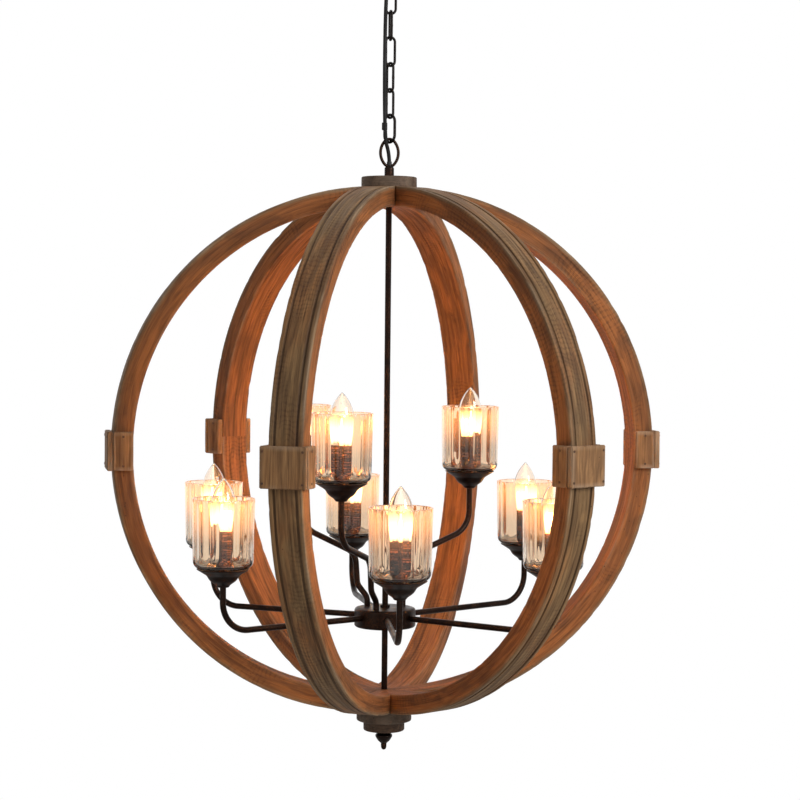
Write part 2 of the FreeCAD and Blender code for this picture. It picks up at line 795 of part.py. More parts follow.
# ------------------------------------------------------------------ pole discs, rod and finial
def make_axis_pieces():
    hole = "Places.tube_hole"
    disc = turned(
        "top_disc",
        [
            (hole, "Places.pole_height"),
            ("Sizes.disc_diameter / 2", "Places.pole_height"),
            ("Sizes.disc_diameter / 2", "Places.disc_top - 1"),
            ("Sizes.disc_diameter / 2 - 1", "Places.disc_top"),
            (hole, "Places.disc_top"),
        ],
    )
    step = "-Places.pole_height - Sizes.cap_step_height"
    foot = "-Places.pole_height - Sizes.cap_height"
    cap = turned(
        "bottom_cap",
        [
            (hole, "-Places.pole_height"),
            (hole, foot),
            ("Sizes.cap_step_diameter / 2 - 1", foot),
            ("Sizes.cap_step_diameter / 2", f"{foot} + 1"),
            ("Sizes.cap_step_diameter / 2", step),
            ("Sizes.disc_diameter / 2 - 1", step),
            ("Sizes.disc_diameter / 2", f"{step} + 1"),
            ("Sizes.disc_diameter / 2", "-Places.pole_height"),
        ],
    )
    wide, tip = "Sizes.finial_diameter / 2", "Sizes.finial_tip_radius"
    finial = turned(
        "finial",
        [
            ("Places.tube_hole - Sizes.hole_clearance / 2", "0"),
            ("Places.tube_hole - Sizes.hole_clearance / 2", "-9.5"),
            ("0", "-9.5"),
            ("0", "-Sizes.finial_height"),
            (tip, f"-Sizes.finial_height + {tip}", tip),
            ("4.2", "-20"),
            (wide, "-10.5", -14),
            (wide, "-8", 2),
            ("8.8", "-3.5", 8),
            ("8.8", "0"),
        ],
    )
    at(finial, orb - Vector(0, 0, place("pole_height") + size("cap_height")))
    top = "Places.disc_top + Sizes.collar_thread_depth - 0.5"
    bottom = "-Places.pole_height - Sizes.cap_height - 9"
    outer = primitive("Cylinder", Radius="Sizes.tube_diameter / 2", Height=f"{top} - ({bottom})")
    bore = primitive("Cylinder", Radius="Sizes.tube_bore / 2", Height=f"{top} - ({bottom})")
    for tube in (outer, bore):
        tube.setExpression("Placement.Base.z", bottom)
    rod = cut("centre_rod", outer, bore)
    for item in (disc, cap, rod):
        at(item, orb)
    nodes.extend([disc, cap, rod, finial])


# ------------------------------------------------------------------ hub
def tube_cutter(base, direction, length):
    """A cylinder that clears one tube."""
    turn = Rotation(Vector(0, 0, 1), direction)
    return primitive("Cylinder", Placement(base, turn), Radius="Places.tube_hole", Height=length)


def make_hub():
    """A round box for the wiring, closed from below, with a hole for each arm."""
    outside, edge = "Sizes.hub_diameter / 2", "Sizes.hub_edge_radius"
    inside, wall = "(Sizes.hub_diameter / 2 - Sizes.hub_wall)", "Sizes.hub_wall"
    shell = turned(
        "hub_shell",
        [
            ("Places.tube_hole", "Places.hub_top"),
            ("Places.tube_hole", f"Places.hub_top - {wall}"),
            (f"{outside} - {edge}", f"Places.hub_top - {wall}"),
            (inside, f"Places.hub_top - {edge}", f"-({edge} - {wall})"),
            (inside, "Places.hub_floor"),
            (outside, "Places.hub_floor"),
            (outside, f"Places.hub_top - {edge}"),
            (f"{outside} - {edge}", "Places.hub_top", edge),
        ],
    )
    cutters = []
    for bearing in lower_bearings:
        start = polar(size("hub_diameter") / 2 - 10, bearing, -size("hub_drop"))
        cutters.append(tube_cutter(start, polar(1, bearing), 20))
    for bearing in upper_bearings:
        start = polar(size("upper_root_radius"), bearing, place("hub_top") - 8)
        cutters.append(tube_cutter(start, Vector(0, 0, 1), 16))
    hub = cut("hub_body", shell, together("arm_holes", cutters))
    under = "Places.hub_floor - Sizes.hub_cover_thickness"
    cover = turned(
        "hub_cover",
        [
            ("Places.tube_hole", "Places.hub_floor"),
            ("Places.tube_hole", under),
            (f"{outside} - 3", under),
            (outside, "Places.hub_floor", 4),
        ],
    )
    radius = size("connector_diameter") / 2
    floor = place("orb_centre") + place("hub_floor") + radius + 0.2
    cone = primitive(
        "Cone",
        Radius1="Sizes.connector_diameter / 2",
        Radius2="Sizes.connector_diameter / 2 - 1.5",
        Height="Sizes.connector_length",
    )
    resting = []
    for bearing in (10, 130, 250):
        tangent = polar(1, bearing + 90)
        start = polar(20, bearing, floor) - tangent * (size("connector_length") / 2)
        resting.append(Placement(start, Rotation(Vector(0, 0, 1), tangent)))
    connectors = copies("wire_connectors", cone, resting)
    nodes.extend([at(hub, orb), at(cover, orb), connectors])


def make_nuts():
    """One size of nut holds the hub on the rod, each arm in the hub and each cup on its arm."""
    across, height = "Sizes.nut_across_flats", size("nut_height")
    hexagon = primitive("Prism", Circumradius=f"{across} / 3^0.5", Height="Sizes.nut_height")
    hexagon.Polygon = 6
    bore = primitive(
        "Cylinder",
        Radius="Sizes.tube_diameter / 2 + Sizes.hole_clearance / 2",
        Height="Sizes.nut_height",
    )
    nut = cut("nut", hexagon, bore)
    hub_bottom = place("hub_floor") - size("hub_cover_thickness")
    placements = [
        Placement(orb + Vector(0, 0, place("hub_top")), Rotation()),
        Placement(orb + Vector(0, 0, hub_bottom - height), Rotation()),
    ]
    corner = size("nut_across_flats") / math.sqrt(3)
    wall = size("hub_diameter") / 2 - size("hub_wall")
    seat = math.sqrt(wall**2 - corner**2) - height - size("hole_clearance")
    flat_up = Rotation(Vector(0, 0, 1), 30)
    for bearing in lower_bearings:
        turn = Rotation(Vector(0, 0, 1), bearing).multiply(Rotation(Vector(0, 1, 0), 90))
        point = orb + polar(seat, bearing, -size("hub_drop"))
        placements.append(Placement(point, turn.multiply(flat_up)))
    under_top = place("hub_top") - size("hub_wall") - height
    for bearing in upper_bearings:
        point = orb + polar(size("upper_root_radius"), bearing, under_top)
        placements.append(Placement(point, Rotation(Vector(0, 0, 1), bearing)))
    in_cup = Vector(0, 0, -size("cup_depth") + 4)
    for point, bearing in lamps:
        placements.append(Placement(point + in_cup, Rotation(Vector(0, 0, 1), bearing)))
    nodes.append(copies("lock_nuts", nut, placements))


# ------------------------------------------------------------------ arms
def make_arm(label, bearing, corners, radii, start_plane, start_offset, start_centre):
    """A bent tube in its own upright plane, made along its route."""
    body = new_body(label)
    route = new_sketch(body, "XZ_Plane")
    draw_bent_line(route, corners, radii)
    section = new_sketch(body, start_plane, {"z": start_offset})
    draw_circle(section, start_centre, "Sizes.tube_diameter / 2")
    draw_circle(section, start_centre, "Sizes.tube_bore / 2")
    pipe = body.newObject("PartDesign::AdditivePipe", "tube")
    pipe.Profile = section
    pipe.Spine = route
    document.recompute()
    nodes.append(at(body, orb, bearing))


def make_arms():
    top = "-Sizes.lower_rim_drop + Places.arm_top"
    start = "Sizes.hub_diameter / 2 - 8"
    level = "-Sizes.hub_drop"
    for i, bearing in enumerate(lower_bearings, start=1):
        corners = [(start, level), ("Sizes.lower_reach", level), ("Sizes.lower_reach", top)]
        make_arm(
            f"lower_arm_{i}",
            bearing,
            corners,
            ["Sizes.lower_bend_radius"],
            "YZ_Plane",
            start,
            ("0", level),
        )
    top = "-Sizes.upper_rim_drop + Places.arm_top"
    root = "Sizes.upper_root_radius"
    inner_end = "Places.hub_top - 7"
    for i, bearing in enumerate(upper_bearings, start=1):
        corners = [
            (root, inner_end),
            (root, "Places.hub_top + Sizes.upper_root_rise"),
            ("Sizes.upper_knee_radius", "Places.hub_top + Sizes.upper_knee_rise"),
            ("Sizes.upper_crook_radius", "Places.hub_top + Sizes.upper_crook_rise"),
            ("Sizes.upper_reach", "Places.hub_top + Sizes.upper_elbow_rise"),
            ("Sizes.upper_reach", top),
        ]
        radii = ["Sizes.upper_root_bend", "Sizes.upper_root_bend"]
        radii += ["Sizes.upper_crook_bend", "Sizes.upper_elbow_bend"]
        make_arm(
            f"upper_arm_{i}", bearing, corners, radii, "XY_Plane", inner_end, (root, "0")
        )


# ------------------------------------------------------------------ lamps
def make_cups():
    """A pressed dish with a bowl under it, its hole round the arm's threaded end."""
    hole, wall = "Places.tube_hole", "Sizes.cup_wall"
    shoulder, bowl = "Sizes.cup_shoulder_radius", "Sizes.cup_bowl_radius"
    cup = turned(
        "cup",
        [
            (hole, "-Sizes.cup_depth + 4"),
            (hole, "-Sizes.cup_depth"),
            ("Sizes.cup_foot_radius", "-Sizes.cup_depth"),
            ("Sizes.cup_foot_radius + 2", "-Sizes.cup_depth + 3"),
            (bowl, "-Sizes.cup_bowl_depth", 16),
            (shoulder, "-Sizes.cup_shoulder_depth", 12),
            ("Sizes.cup_radius", "-0.6"),
            ("Sizes.cup_radius", "0.3"),
            (f"Sizes.cup_radius - {wall}", "0.3"),
            (f"{shoulder} - {wall} / 2", f"-Sizes.cup_shoulder_depth + {wall}"),
            (f"{bowl} - {wall}", f"-Sizes.cup_bowl_depth + {wall} / 2", -12),
            ("Sizes.cup_foot_radius + 1.6", "-Sizes.cup_depth + 4", -15),
        ],
    )
    nodes.append(copies("shade_cups", cup, lamp_places))


def make_sleeves_and_sockets():
    """The candle sleeve stands in the cup round the socket, which screws on the arm's end."""
    outside = "Sizes.sleeve_diameter / 2"
    foot = "-Sizes.cup_depth + 5.5"
    sleeve = turned(
        "sleeve",
        [
            (f"{outside} - Sizes.sleeve_wall", foot),
            (outside, foot),
            (outside, "Sizes.sleeve_rise"),
            (f"{outside} - Sizes.sleeve_wall", "Sizes.sleeve_rise"),
        ],
    )
    thread = "Sizes.tube_diameter / 2 + Sizes.hole_clearance / 2"
    leg, body = "Sizes.socket_leg_diameter / 2", "Sizes.socket_diameter / 2"
    mouth = "Sizes.bulb_cap_diameter / 2 + Sizes.lamp_clearance"
    floor = "Sizes.socket_rise - Sizes.socket_depth"
    foot = "-Sizes.cup_depth + Sizes.nut_height + 4"
    socket = turned(
        "socket",
        [
            (thread, foot),
            (leg, foot),
            (leg, f"{floor} - 14"),
            (body, f"{floor} - 12"),
            (body, "Sizes.socket_rise"),
            (mouth, "Sizes.socket_rise"),
            (mouth, floor),
            ("0", floor),
            ("0", f"{floor} - 8"),
            (thread, f"{floor} - 8"),
        ],
    )
    nodes.append(copies("candle_sleeves", sleeve, lamp_places))
    nodes.append(copies("lamp_sockets", socket, lamp_places))


def make_shade(label, placement):
    """A fluted glass tumbler with a hole in its floor for the sleeve."""
    foot, lift = "Sizes.shade_foot_diameter / 2", "Sizes.shade_lift"
    corner, wall = "Sizes.shade_corner", "Sizes.shade_wall"
    hole = "Sizes.sleeve_diameter / 2 + 0.6"
    body = turned(
        label,
        [
            (hole, lift),
            (f"{foot} - {corner}", lift),
            (foot, f"{lift} + {corner}", corner),
            ("Sizes.shade_diameter / 2", "Sizes.shade_height"),
            (f"Sizes.shade_diameter / 2 - {wall}", "Sizes.shade_height"),
            (f"{foot} - {wall}", f"{lift} + {corner} + 1"),
            (
                f"{foot} - {corner} - 0.5",
                f"{lift} + Sizes.shade_floor",
                f"-({corner} - {wall} + 0.6)",
            ),
            (hole, f"{lift} + Sizes.shade_floor"),
        ],
    )
    flute = new_sketch(body, "XY_Plane", {"z": f"{lift} + {corner}"})
    middle = "Sizes.shade_diameter / 2 + Sizes.flute_radius - Sizes.flute_depth"
    draw_circle(flute, (middle, "0"), "Sizes.flute_radius")
    pocket = cut_feature(body, flute, reversed_way=True, Length="Sizes.shade_height")
    repeat_round(body, pocket, "Sizes.flute_count")
    body.Placement = placement
    nodes.append(body)


def make_bulb(label, placement):
    """A pointed candle bulb, its cap in the socket and its glass resting just over it."""
    cap, neck = "Sizes.bulb_cap_diameter / 2", "Sizes.bulb_neck_diameter / 2"
    seat = "Sizes.socket_rise + Sizes.lamp_clearance"
    contact = "Sizes.socket_rise - Sizes.socket_depth + Sizes.lamp_clearance"
    wide, tip, point = "Sizes.bulb_diameter / 2", "Sizes.bulb_rise", "Sizes.bulb_tip_radius"
    body = turned(
        label,
        [
            ("0", contact),
            ("2.4", contact),
            (cap, f"{contact} + 2.5"),
            (cap, seat),
            (neck, seat),
            (f"{neck} + 1.2", f"{seat} + 4"),
            (f"{wide} - 2.2", f"{tip} - 54", 90),
            (wide, f"{tip} - 38", 60),
            (f"{wide} - 2.2", f"{tip} - 22", 60),
            (f"{wide} - 8", f"{tip} - 9", 40),
            (f"0.8 * {point}", f"{tip} - 0.4 * {point}", 60),
            ("0", tip, point),
        ],
    )
    body.Placement = placement
    nodes.append(body)


def make_lamps():
    make_cups()
    make_sleeves_and_sockets()
    for i, placement in enumerate(lamp_places, start=1):
        make_shade(f"shade_{i}", placement)
    for i, placement in enumerate(lamp_places, start=1):
        make_bulb(f"bulb_{i}", placement)


# ------------------------------------------------------------------ build, check and write
make_ceiling_fitting()
make_loops()
make_chain()
make_cord()
make_ribs()
make_cleats()
make_axis_pieces()
make_hub()
make_nuts()
make_arms()
make_lamps()
document.recompute()

for item in document.Objects:
    if {"Invalid", "Error"} & set(item.State):
        raise RuntimeError(f"{item.Label} failed: {item.State}")
for node in nodes:
    if node.Shape.isNull() or not node.Shape.isValid():
        raise RuntimeError(f"{node.Label} has no valid shape")

os.makedirs("parts", exist_ok=True)
for node in nodes:
    node.Shape.exportStep(f"parts/{node.Label}.step")
print(len(nodes), "nodes,", sum(len(node.Shape.Solids) for node in nodes), "solids")
print("orb centre", place("orb_centre"))
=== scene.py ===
# %% [markdown]
# # An orb chandelier in weathered wood, dark bronze and fluted glass
# Six wooden half ribs form an open orb. Nine candle lamps stand on curved tubes that leave a
# round box inside it, and a chain and a cord carry the whole to the ceiling. The imported model
# gives every piece its place and size. This lesson gives each one the surface of the real thing.
#
# We load that model first. Nothing that we add may reach outside it.

# %% Load the imported model
import json
import math

import bmesh
import bpy
import numpy as np
from mathutils import Matrix, Vector, noise

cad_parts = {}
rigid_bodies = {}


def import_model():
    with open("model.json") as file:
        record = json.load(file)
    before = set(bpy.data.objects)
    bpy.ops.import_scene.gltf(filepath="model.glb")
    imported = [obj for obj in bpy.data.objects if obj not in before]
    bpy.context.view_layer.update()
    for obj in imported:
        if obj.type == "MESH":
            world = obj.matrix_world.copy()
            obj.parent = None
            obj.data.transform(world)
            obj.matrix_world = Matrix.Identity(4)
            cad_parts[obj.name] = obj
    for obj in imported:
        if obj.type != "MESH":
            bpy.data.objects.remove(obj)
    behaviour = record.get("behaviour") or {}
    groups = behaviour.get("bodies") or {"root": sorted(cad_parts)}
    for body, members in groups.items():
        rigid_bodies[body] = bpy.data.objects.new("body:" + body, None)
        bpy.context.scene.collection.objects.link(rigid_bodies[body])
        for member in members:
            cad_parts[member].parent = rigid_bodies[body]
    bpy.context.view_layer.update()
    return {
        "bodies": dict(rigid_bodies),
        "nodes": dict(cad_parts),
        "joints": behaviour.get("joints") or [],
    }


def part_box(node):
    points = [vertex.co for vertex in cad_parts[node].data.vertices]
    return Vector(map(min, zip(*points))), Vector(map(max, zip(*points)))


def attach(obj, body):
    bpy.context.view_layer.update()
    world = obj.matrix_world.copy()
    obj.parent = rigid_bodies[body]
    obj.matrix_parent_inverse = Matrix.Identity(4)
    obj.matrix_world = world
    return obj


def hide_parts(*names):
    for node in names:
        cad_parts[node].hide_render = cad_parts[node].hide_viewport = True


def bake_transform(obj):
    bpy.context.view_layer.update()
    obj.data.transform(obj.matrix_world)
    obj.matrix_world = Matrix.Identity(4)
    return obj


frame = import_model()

MM = 0.001


# %% [markdown]
# ## Where things are
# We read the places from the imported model, so that a changed size moves our pieces too. The orb's
# middle is the height at which the cleats sit. A lamp stands where its shade does. Only the
# sections that we redraw, such as a rib's, are written again as sizes.

# %% Places read from the model
def middle(node):
    low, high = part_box(node)
    return (Vector(low) + Vector(high)) / 2


def ends(node):
    """The lowest and highest point of a node on the vertical."""
    low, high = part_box(node)
    return low[2], high[2]


ORB_Z = middle("equator_cleats").z
RIBS = 6
LAMPS = 9
RIB_BEARINGS = [math.radians(10.9 + 60 * i) for i in range(RIBS)]
SHADE_LIFT = 0.3 * MM
lamp_feet = []
for i in range(1, LAMPS + 1):
    foot = middle(f"shade_{i}")
    foot.z = ends(f"shade_{i}")[0] - SHADE_LIFT
    lamp_feet.append(foot)
print("middle of the orb", round(ORB_Z, 4), "lamps", len(lamp_feet))

# %% [markdown]
# ## The camera
# The photograph was taken from about three metres with a long lens, a little above the middle of
# the orb and looking slightly down. Matching the six ribs to it gave the numbers below. A long
# lens flattens the far ribs onto the near ones, so the distance matters as much as the angle.

# %% Camera at the photograph's place
CAMERA_DISTANCE = 3.0665
CAMERA_RISE = 0.2034
CAMERA_YAW = math.radians(0.355)
CAMERA_PITCH = math.radians(-2.446)
CAMERA_ROLL = math.radians(0.569)

camera_data = bpy.data.cameras.new("camera")
camera_data.sensor_width = 36
camera_data.lens = 94.3
camera = bpy.data.objects.new("camera", camera_data)
bpy.context.collection.objects.link(camera)
ahead = Vector((math.sin(CAMERA_YAW) * math.cos(CAMERA_PITCH),
                math.cos(CAMERA_YAW) * math.cos(CAMERA_PITCH), math.sin(CAMERA_PITCH)))
right = Vector((math.cos(CAMERA_YAW), -math.sin(CAMERA_YAW), 0))
above = right.cross(ahead)
tilted_right = right * math.cos(CAMERA_ROLL) + above * math.sin(CAMERA_ROLL)
tilted_up = above * math.cos(CAMERA_ROLL) - right * math.sin(CAMERA_ROLL)
turn = Matrix((tilted_right, tilted_up, -ahead)).transposed().to_4x4()
camera.matrix_world = Matrix.Translation((0, -CAMERA_DISTANCE, ORB_Z + CAMERA_RISE)) @ turn
bpy.context.scene.camera = camera
bpy.context.scene.view_settings.view_transform = "Standard"
print("camera at", [round(v, 3) for v in camera.location])


# %% [markdown]
# ## Short words for shader nodes
# A finish is a small network of nodes. Written out, each node takes four or five lines, so two
# helpers keep the networks readable: one adds a node and wires its inputs, the other adds a
# piece of arithmetic. Another builds a node group with named sockets, which several materials
# can then share, each with its own values.

# %% Node helpers
def feed(tree, socket, value):
    """Wires another node's output into a socket, or sets the socket to a value."""
    if isinstance(value, bpy.types.NodeSocket):
        tree.links.new(value, socket)
    else:
        socket.default_value = value


def put(tree, kind, settings=None, **inputs):
    """Adds a node. An input is a value or another node's output, named with _ for a space."""
    made = tree.nodes.new("ShaderNode" + kind)
    for name, value in (settings or {}).items():
        setattr(made, name, value)
    for name, value in inputs.items():
        key = int(name[1:]) if name[0] == "i" and name[1:].isdigit() else name.replace("_", " ")
        feed(tree, made.inputs[key], value)
    return made


def sums(tree, operation, first, second=0.0, third=0.0):
    """One step of arithmetic, limited to 0..1 when its name ends in _."""
    made = put(tree, "Math", {"operation": operation.rstrip("_")}, i0=first, i1=second, i2=third)
    made.use_clamp = operation.endswith("_")
    return made.outputs[0]


def ramp(tree, value, low, high, start=0.0, end=1.0):
    """Smooth change from start to end while value goes from low to high."""
    made = put(tree, "MapRange", {"interpolation_type": "SMOOTHSTEP"}, Value=value, From_Min=low,
               From_Max=high, To_Min=start, To_Max=end)
    return made.outputs[0]


def blend_colours(tree, share, first, second, way="MIX"):
    made = tree.nodes.new("ShaderNodeMix")
    made.data_type = "RGBA"
    made.blend_type = way
    for index, value in ((0, share), (6, first), (7, second)):
        feed(tree, made.inputs[index], value)
    return made.outputs[2]


def speckle(tree, place, scale, detail=3.0, roughness=0.6, distortion=0.0):
    made = put(tree, "TexNoise", None, Vector=place, Scale=scale, Detail=detail,
               Roughness=roughness, Distortion=distortion)
    return made.outputs[0]


def stretched(tree, place, stretch, shift=(0, 0, 0)):
    """The place, stretched along each axis, so that a texture runs long in one direction."""
    return put(tree, "Mapping", None, Vector=place, Scale=stretch, Location=shift).outputs[0]


SOCKETS = {"value": "NodeSocketFloat", "colour": "NodeSocketColor", "vector": "NodeSocketVector"}


def new_group(name, inputs, outputs):
    """A node group with named sockets. Returns its tree, its inputs and its output node."""
    tree = bpy.data.node_groups.new(name, "ShaderNodeTree")
    for label, (kind, default) in inputs.items():
        socket = tree.interface.new_socket(label, in_out="INPUT", socket_type=SOCKETS[kind])
        socket.default_value = default
    for label, kind in outputs.items():
        tree.interface.new_socket(label, in_out="OUTPUT", socket_type=SOCKETS[kind])
    source = tree.nodes.new("NodeGroupInput")
    result = tree.nodes.new("NodeGroupOutput")
    return tree, source.outputs, result


def finish_group(tree, result, **values):
    for name, value in values.items():
        tree.links.new(value, result.inputs[name.replace("_", " ")])
    print("group", tree.name, "with", len(tree.nodes), "nodes")


def new_material(name):
    material = bpy.data.materials.new(name)
    material.use_nodes = True
    tree = material.node_tree
    shader = tree.nodes["Principled BSDF"]
    return material, tree, shader


def use_group(tree, group, **inputs):
    made = tree.nodes.new("ShaderNodeGroup")
    made.node_tree = group
    for name, value in inputs.items():
        feed(tree, made.inputs[name.replace("_", " ")], value)
    return made.outputs


def dress(tree, shader, finish):
    """Wires a group's colour and roughness into the shader."""
    tree.links.new(finish["Colour"], shader.inputs["Base Color"])
    tree.links.new(finish["Roughness"], shader.inputs["Roughness"])


def bump(tree, shader, height, distance, strength=1.0):
    made = put(tree, "Bump", None, Height=height, Distance=distance, Strength=strength)
    tree.links.new(made.outputs[0], shader.inputs["Normal"])


def rgb(red, green, blue):
    """A colour as a screen shows it, 0 to 255, turned into the linear light that nodes use."""
    return tuple(((v / 255 + 0.055) / 1.055) ** 2.4 if v > 10 else v / 3295
                 for v in (red, green, blue)) + (1.0,)


# %% [markdown]
# ## Wood that was cut from a board
# Grain isn't a picture glued on a surface: it runs through the wood. Each wooden mesh stores, at
# every point, where that point lay in its board: along the grain, across it and through it. The
# group reads that place, so that streaks run along a curved rib and turn to end grain at a cut.
# Three scales make it believable: broad bands of growth, fine fibres, and the pale cross ripples
# that light shows in this timber. Weather greys what faces out and wears the edges pale, and painted shade
# darkens the cut grooves.

# %% Shader group: weathered wood
def make_wood_group():
    tree, given, result = new_group(
        "weathered wood",
        {"Place": ("vector", (0, 0, 0)), "Marks": ("vector", (0, 0, 0)),
         "Heart": ("colour", rgb(150, 92, 55)), "Grey": ("colour", rgb(132, 108, 86)),
         "Dark": ("colour", rgb(62, 42, 28)), "Ripple": ("value", 0.5), "Joint": ("value", 0.3)},
        {"Colour": "colour", "Roughness": "value", "Height": "value"})
    place = given["Place"]
    marks = put(tree, "SeparateXYZ", None, Vector=given["Marks"])
    # the third mark says where shade is painted into the grooves
    outside, edge, groove_shade = marks.outputs
    apart = put(tree, "SeparateXYZ", None, Vector=place)
    along, across = apart.outputs[0], apart.outputs[1]

    # a slanted glue line halfway along each length, and a slightly different board beyond it
    slant = sums(tree, "ADD", along, sums(tree, "MULTIPLY", across, 1.6))
    beyond = sums(tree, "SUBTRACT", slant, given["Joint"])
    second_board = ramp(tree, beyond, -0.0002, 0.0002)
    glue_line = ramp(tree, sums(tree, "ABSOLUTE", beyond), 0.0003, 0.0011, 1.0, 0.0)
    shift = sums(tree, "MULTIPLY", second_board, 3.7)
    here = put(tree, "CombineXYZ", None, X=along, Y=sums(tree, "ADD", across, shift),
               Z=apart.outputs[2]).outputs[0]

    wander = speckle(tree, stretched(tree, here, (5, 18, 18)), 1.0, 2.0)
    bands_at = put(tree, "VectorMath", {"operation": "ADD"}, i0=stretched(tree, here, (1.6, 62, 48)),
                   i1=sums(tree, "MULTIPLY", wander, 3.2)).outputs[0]
    bands = speckle(tree, bands_at, 1.0, 4.0, 0.62)
    fibres = speckle(tree, stretched(tree, here, (26, 900, 900)), 1.0, 3.0, 0.7)
    streaks = speckle(tree, stretched(tree, here, (9, 260, 240)), 1.0, 3.0, 0.7)
    patches = speckle(tree, stretched(tree, here, (10, 22, 22)), 1.0, 3.0)

    # rings cut at a slant: wavering lines that run the length of the board
    rings_at = stretched(tree, here, (0.16, 1, 0.8))
    rings = put(tree, "TexWave", {"bands_direction": "Y"}, Vector=rings_at, Scale=40.0,
                Distortion=14.0, Detail=3.0, Detail_Scale=0.9).outputs[1]

    # ripples across the grain, stronger in some places than others
    ripple_at = stretched(tree, here, (1, 2.2, 1.6))
    ripples = put(tree, "TexWave", {"bands_direction": "X"}, Vector=ripple_at, Scale=44.0,
                  Distortion=11.0, Detail=3.0, Detail_Scale=0.55).outputs[1]
    ripples = sums(tree, "MULTIPLY", ripples, ramp(tree, streaks, 0.3, 0.6, 0.45, 1.0))
    where = ramp(tree, speckle(tree, stretched(tree, here, (7, 12, 12), (4, 1, 7)), 1.0), 0.40, 0.60)
    ripples = sums(tree, "MULTIPLY", sums(tree, "MULTIPLY", ripples, where), given["Ripple"])

    # a knot here and there, with the bands bent round it
    cells = put(tree, "TexVoronoi", {"feature": "F1"}, Vector=stretched(tree, here, (7, 19, 9)),
                Scale=1.0, Randomness=1.0)
    rare = ramp(tree, put(tree, "SeparateXYZ", None, Vector=cells.outputs["Color"]).outputs[0],
                0.78, 0.80)
    knots = sums(tree, "MULTIPLY", ramp(tree, cells.outputs["Distance"], 0.05, 0.21, 1.0, 0.0), rare)
    pits = put(tree, "TexVoronoi", {"feature": "F1"}, Vector=here, Scale=85.0, Randomness=1.0)
    some = ramp(tree, put(tree, "SeparateXYZ", None, Vector=pits.outputs["Color"]).outputs[1],
                0.80, 0.82)
    holes = sums(tree, "MULTIPLY", ramp(tree, pits.outputs["Distance"], 0.05, 0.09, 1.0, 0.0), some)

    colour = blend_colours(tree, ramp(tree, bands, 0.36, 0.66), given["Heart"],
                           blend_colours(tree, 0.6, given["Heart"], given["Dark"]))
    greying = sums(tree, "MULTIPLY", outside, ramp(tree, patches, 0.25, 0.62, 0.45, 1.0))
    grey = blend_colours(tree, ramp(tree, bands, 0.36, 0.66), given["Grey"],
                         blend_colours(tree, 0.58, given["Grey"], given["Dark"]))
    colour = blend_colours(tree, greying, colour, grey)
    dark_streaks = ramp(tree, streaks, 0.46, 0.72, 0.0, 0.62)
    colour = blend_colours(tree, dark_streaks, colour, given["Dark"])
    lines = sums(tree, "ADD_", ramp(tree, rings, 0.5, 1.0, 0.0, 0.26),
                 sums(tree, "MULTIPLY", ramp(tree, ripples, 0.3, 0.95), 0.3))
    colour = blend_colours(tree, lines, colour, given["Dark"])
    worn = sums(tree, "MULTIPLY", edge, ramp(tree, patches, 0.38, 0.66, 0.05, 0.6))
    colour = blend_colours(tree, worn, colour,
                           blend_colours(tree, 0.5, given["Grey"], (0.5, 0.4, 0.3, 1)))
    # painted shade: the grooves are darkened as if shade fell in them; knots, glue lines and pits are the
    # wood's own dark marks
    shade = sums(tree, "MAXIMUM", sums(tree, "MULTIPLY", groove_shade, 0.5),
                 sums(tree, "MULTIPLY", knots, 0.75))
    shade = sums(tree, "MAXIMUM_", shade, sums(tree, "MULTIPLY", glue_line, 0.7))
    shade = sums(tree, "MAXIMUM_", shade, sums(tree, "MULTIPLY", holes, 0.9))
    colour = blend_colours(tree, shade, colour,
                           blend_colours(tree, 0.6, given["Dark"], (0.01, 0.006, 0.004, 1)))
    value = sums(tree, "ADD", ramp(tree, fibres, 0.25, 0.75, 0.78, 1.2),
                 sums(tree, "MULTIPLY", second_board, -0.07))
    tone = put(tree, "HueSaturation", None, Color=colour, Value=value).outputs[0]

    height = sums(tree, "ADD", sums(tree, "MULTIPLY", fibres, 0.30),
                  sums(tree, "MULTIPLY", streaks, -0.55))
    height = sums(tree, "ADD", height, sums(tree, "MULTIPLY", bands, -0.35))
    height = sums(tree, "SUBTRACT", height, sums(tree, "MULTIPLY", lines, 0.4))
    height = sums(tree, "SUBTRACT", height, sums(tree, "MULTIPLY", glue_line, 0.5))
    rough = ramp(tree, streaks, 0.2, 0.8, 0.55, 0.82)
    finish_group(tree, result, Colour=tone, Roughness=rough, Height=height)
    return tree


WOOD_GROUP = make_wood_group()


# %% [markdown]
# ## Three woods from one group
# The ribs, the cleats and the turned ends are the same timber, finished a little differently, so
# each material places the same group with its own colours. The place in the board and the marks
# (facing out, edge, and groove for painted shade) come from attributes that we store on the meshes further
# on.

# %% Wood materials
def make_wood(name, **values):
    material, tree, shader = new_material(name)
    place = put(tree, "Attribute", {"attribute_name": "grain_place"}).outputs["Vector"]
    marks = put(tree, "Attribute", {"attribute_name": "wear_and_groove_shade_marks"}).outputs["Vector"]
    wood = use_group(tree, WOOD_GROUP, Place=place, Marks=marks, **values)
    dress(tree, shader, wood)
    bump(tree, shader, wood["Height"], 0.9 * MM, 0.8)
    shader.inputs["Specular IOR Level"].default_value = 0.3
    return material


rib_wood = make_wood("rib wood", Heart=rgb(160, 97, 47), Grey=rgb(146, 113, 74), Dark=rgb(60, 37, 20),
                     Ripple=1.0, Joint=0.33)
cleat_wood = make_wood("cleat wood", Heart=rgb(160, 110, 64), Grey=rgb(162, 120, 78),
                       Dark=rgb(74, 46, 26), Ripple=0.4, Joint=9.0)
turned_wood = make_wood("turned wood", Heart=rgb(86, 58, 38), Grey=rgb(88, 66, 48),
                        Dark=rgb(38, 24, 15), Ripple=0.2, Joint=9.0)
print("woods", rib_wood.name, cleat_wood.name, turned_wood.name)


# %% [markdown]
# ## Dark bronze, black iron and small fittings
# The metal is painted: a dark, slightly brown coat that is never quite even. A group gives the
# faint cloudiness of the coat, paler rubbed spots and the pits under it. The chain uses the same
# group in black, the steel strap in a light zinc colour. A metal that is all one value looks
# like plastic, so roughness changes over the surface as well as colour.

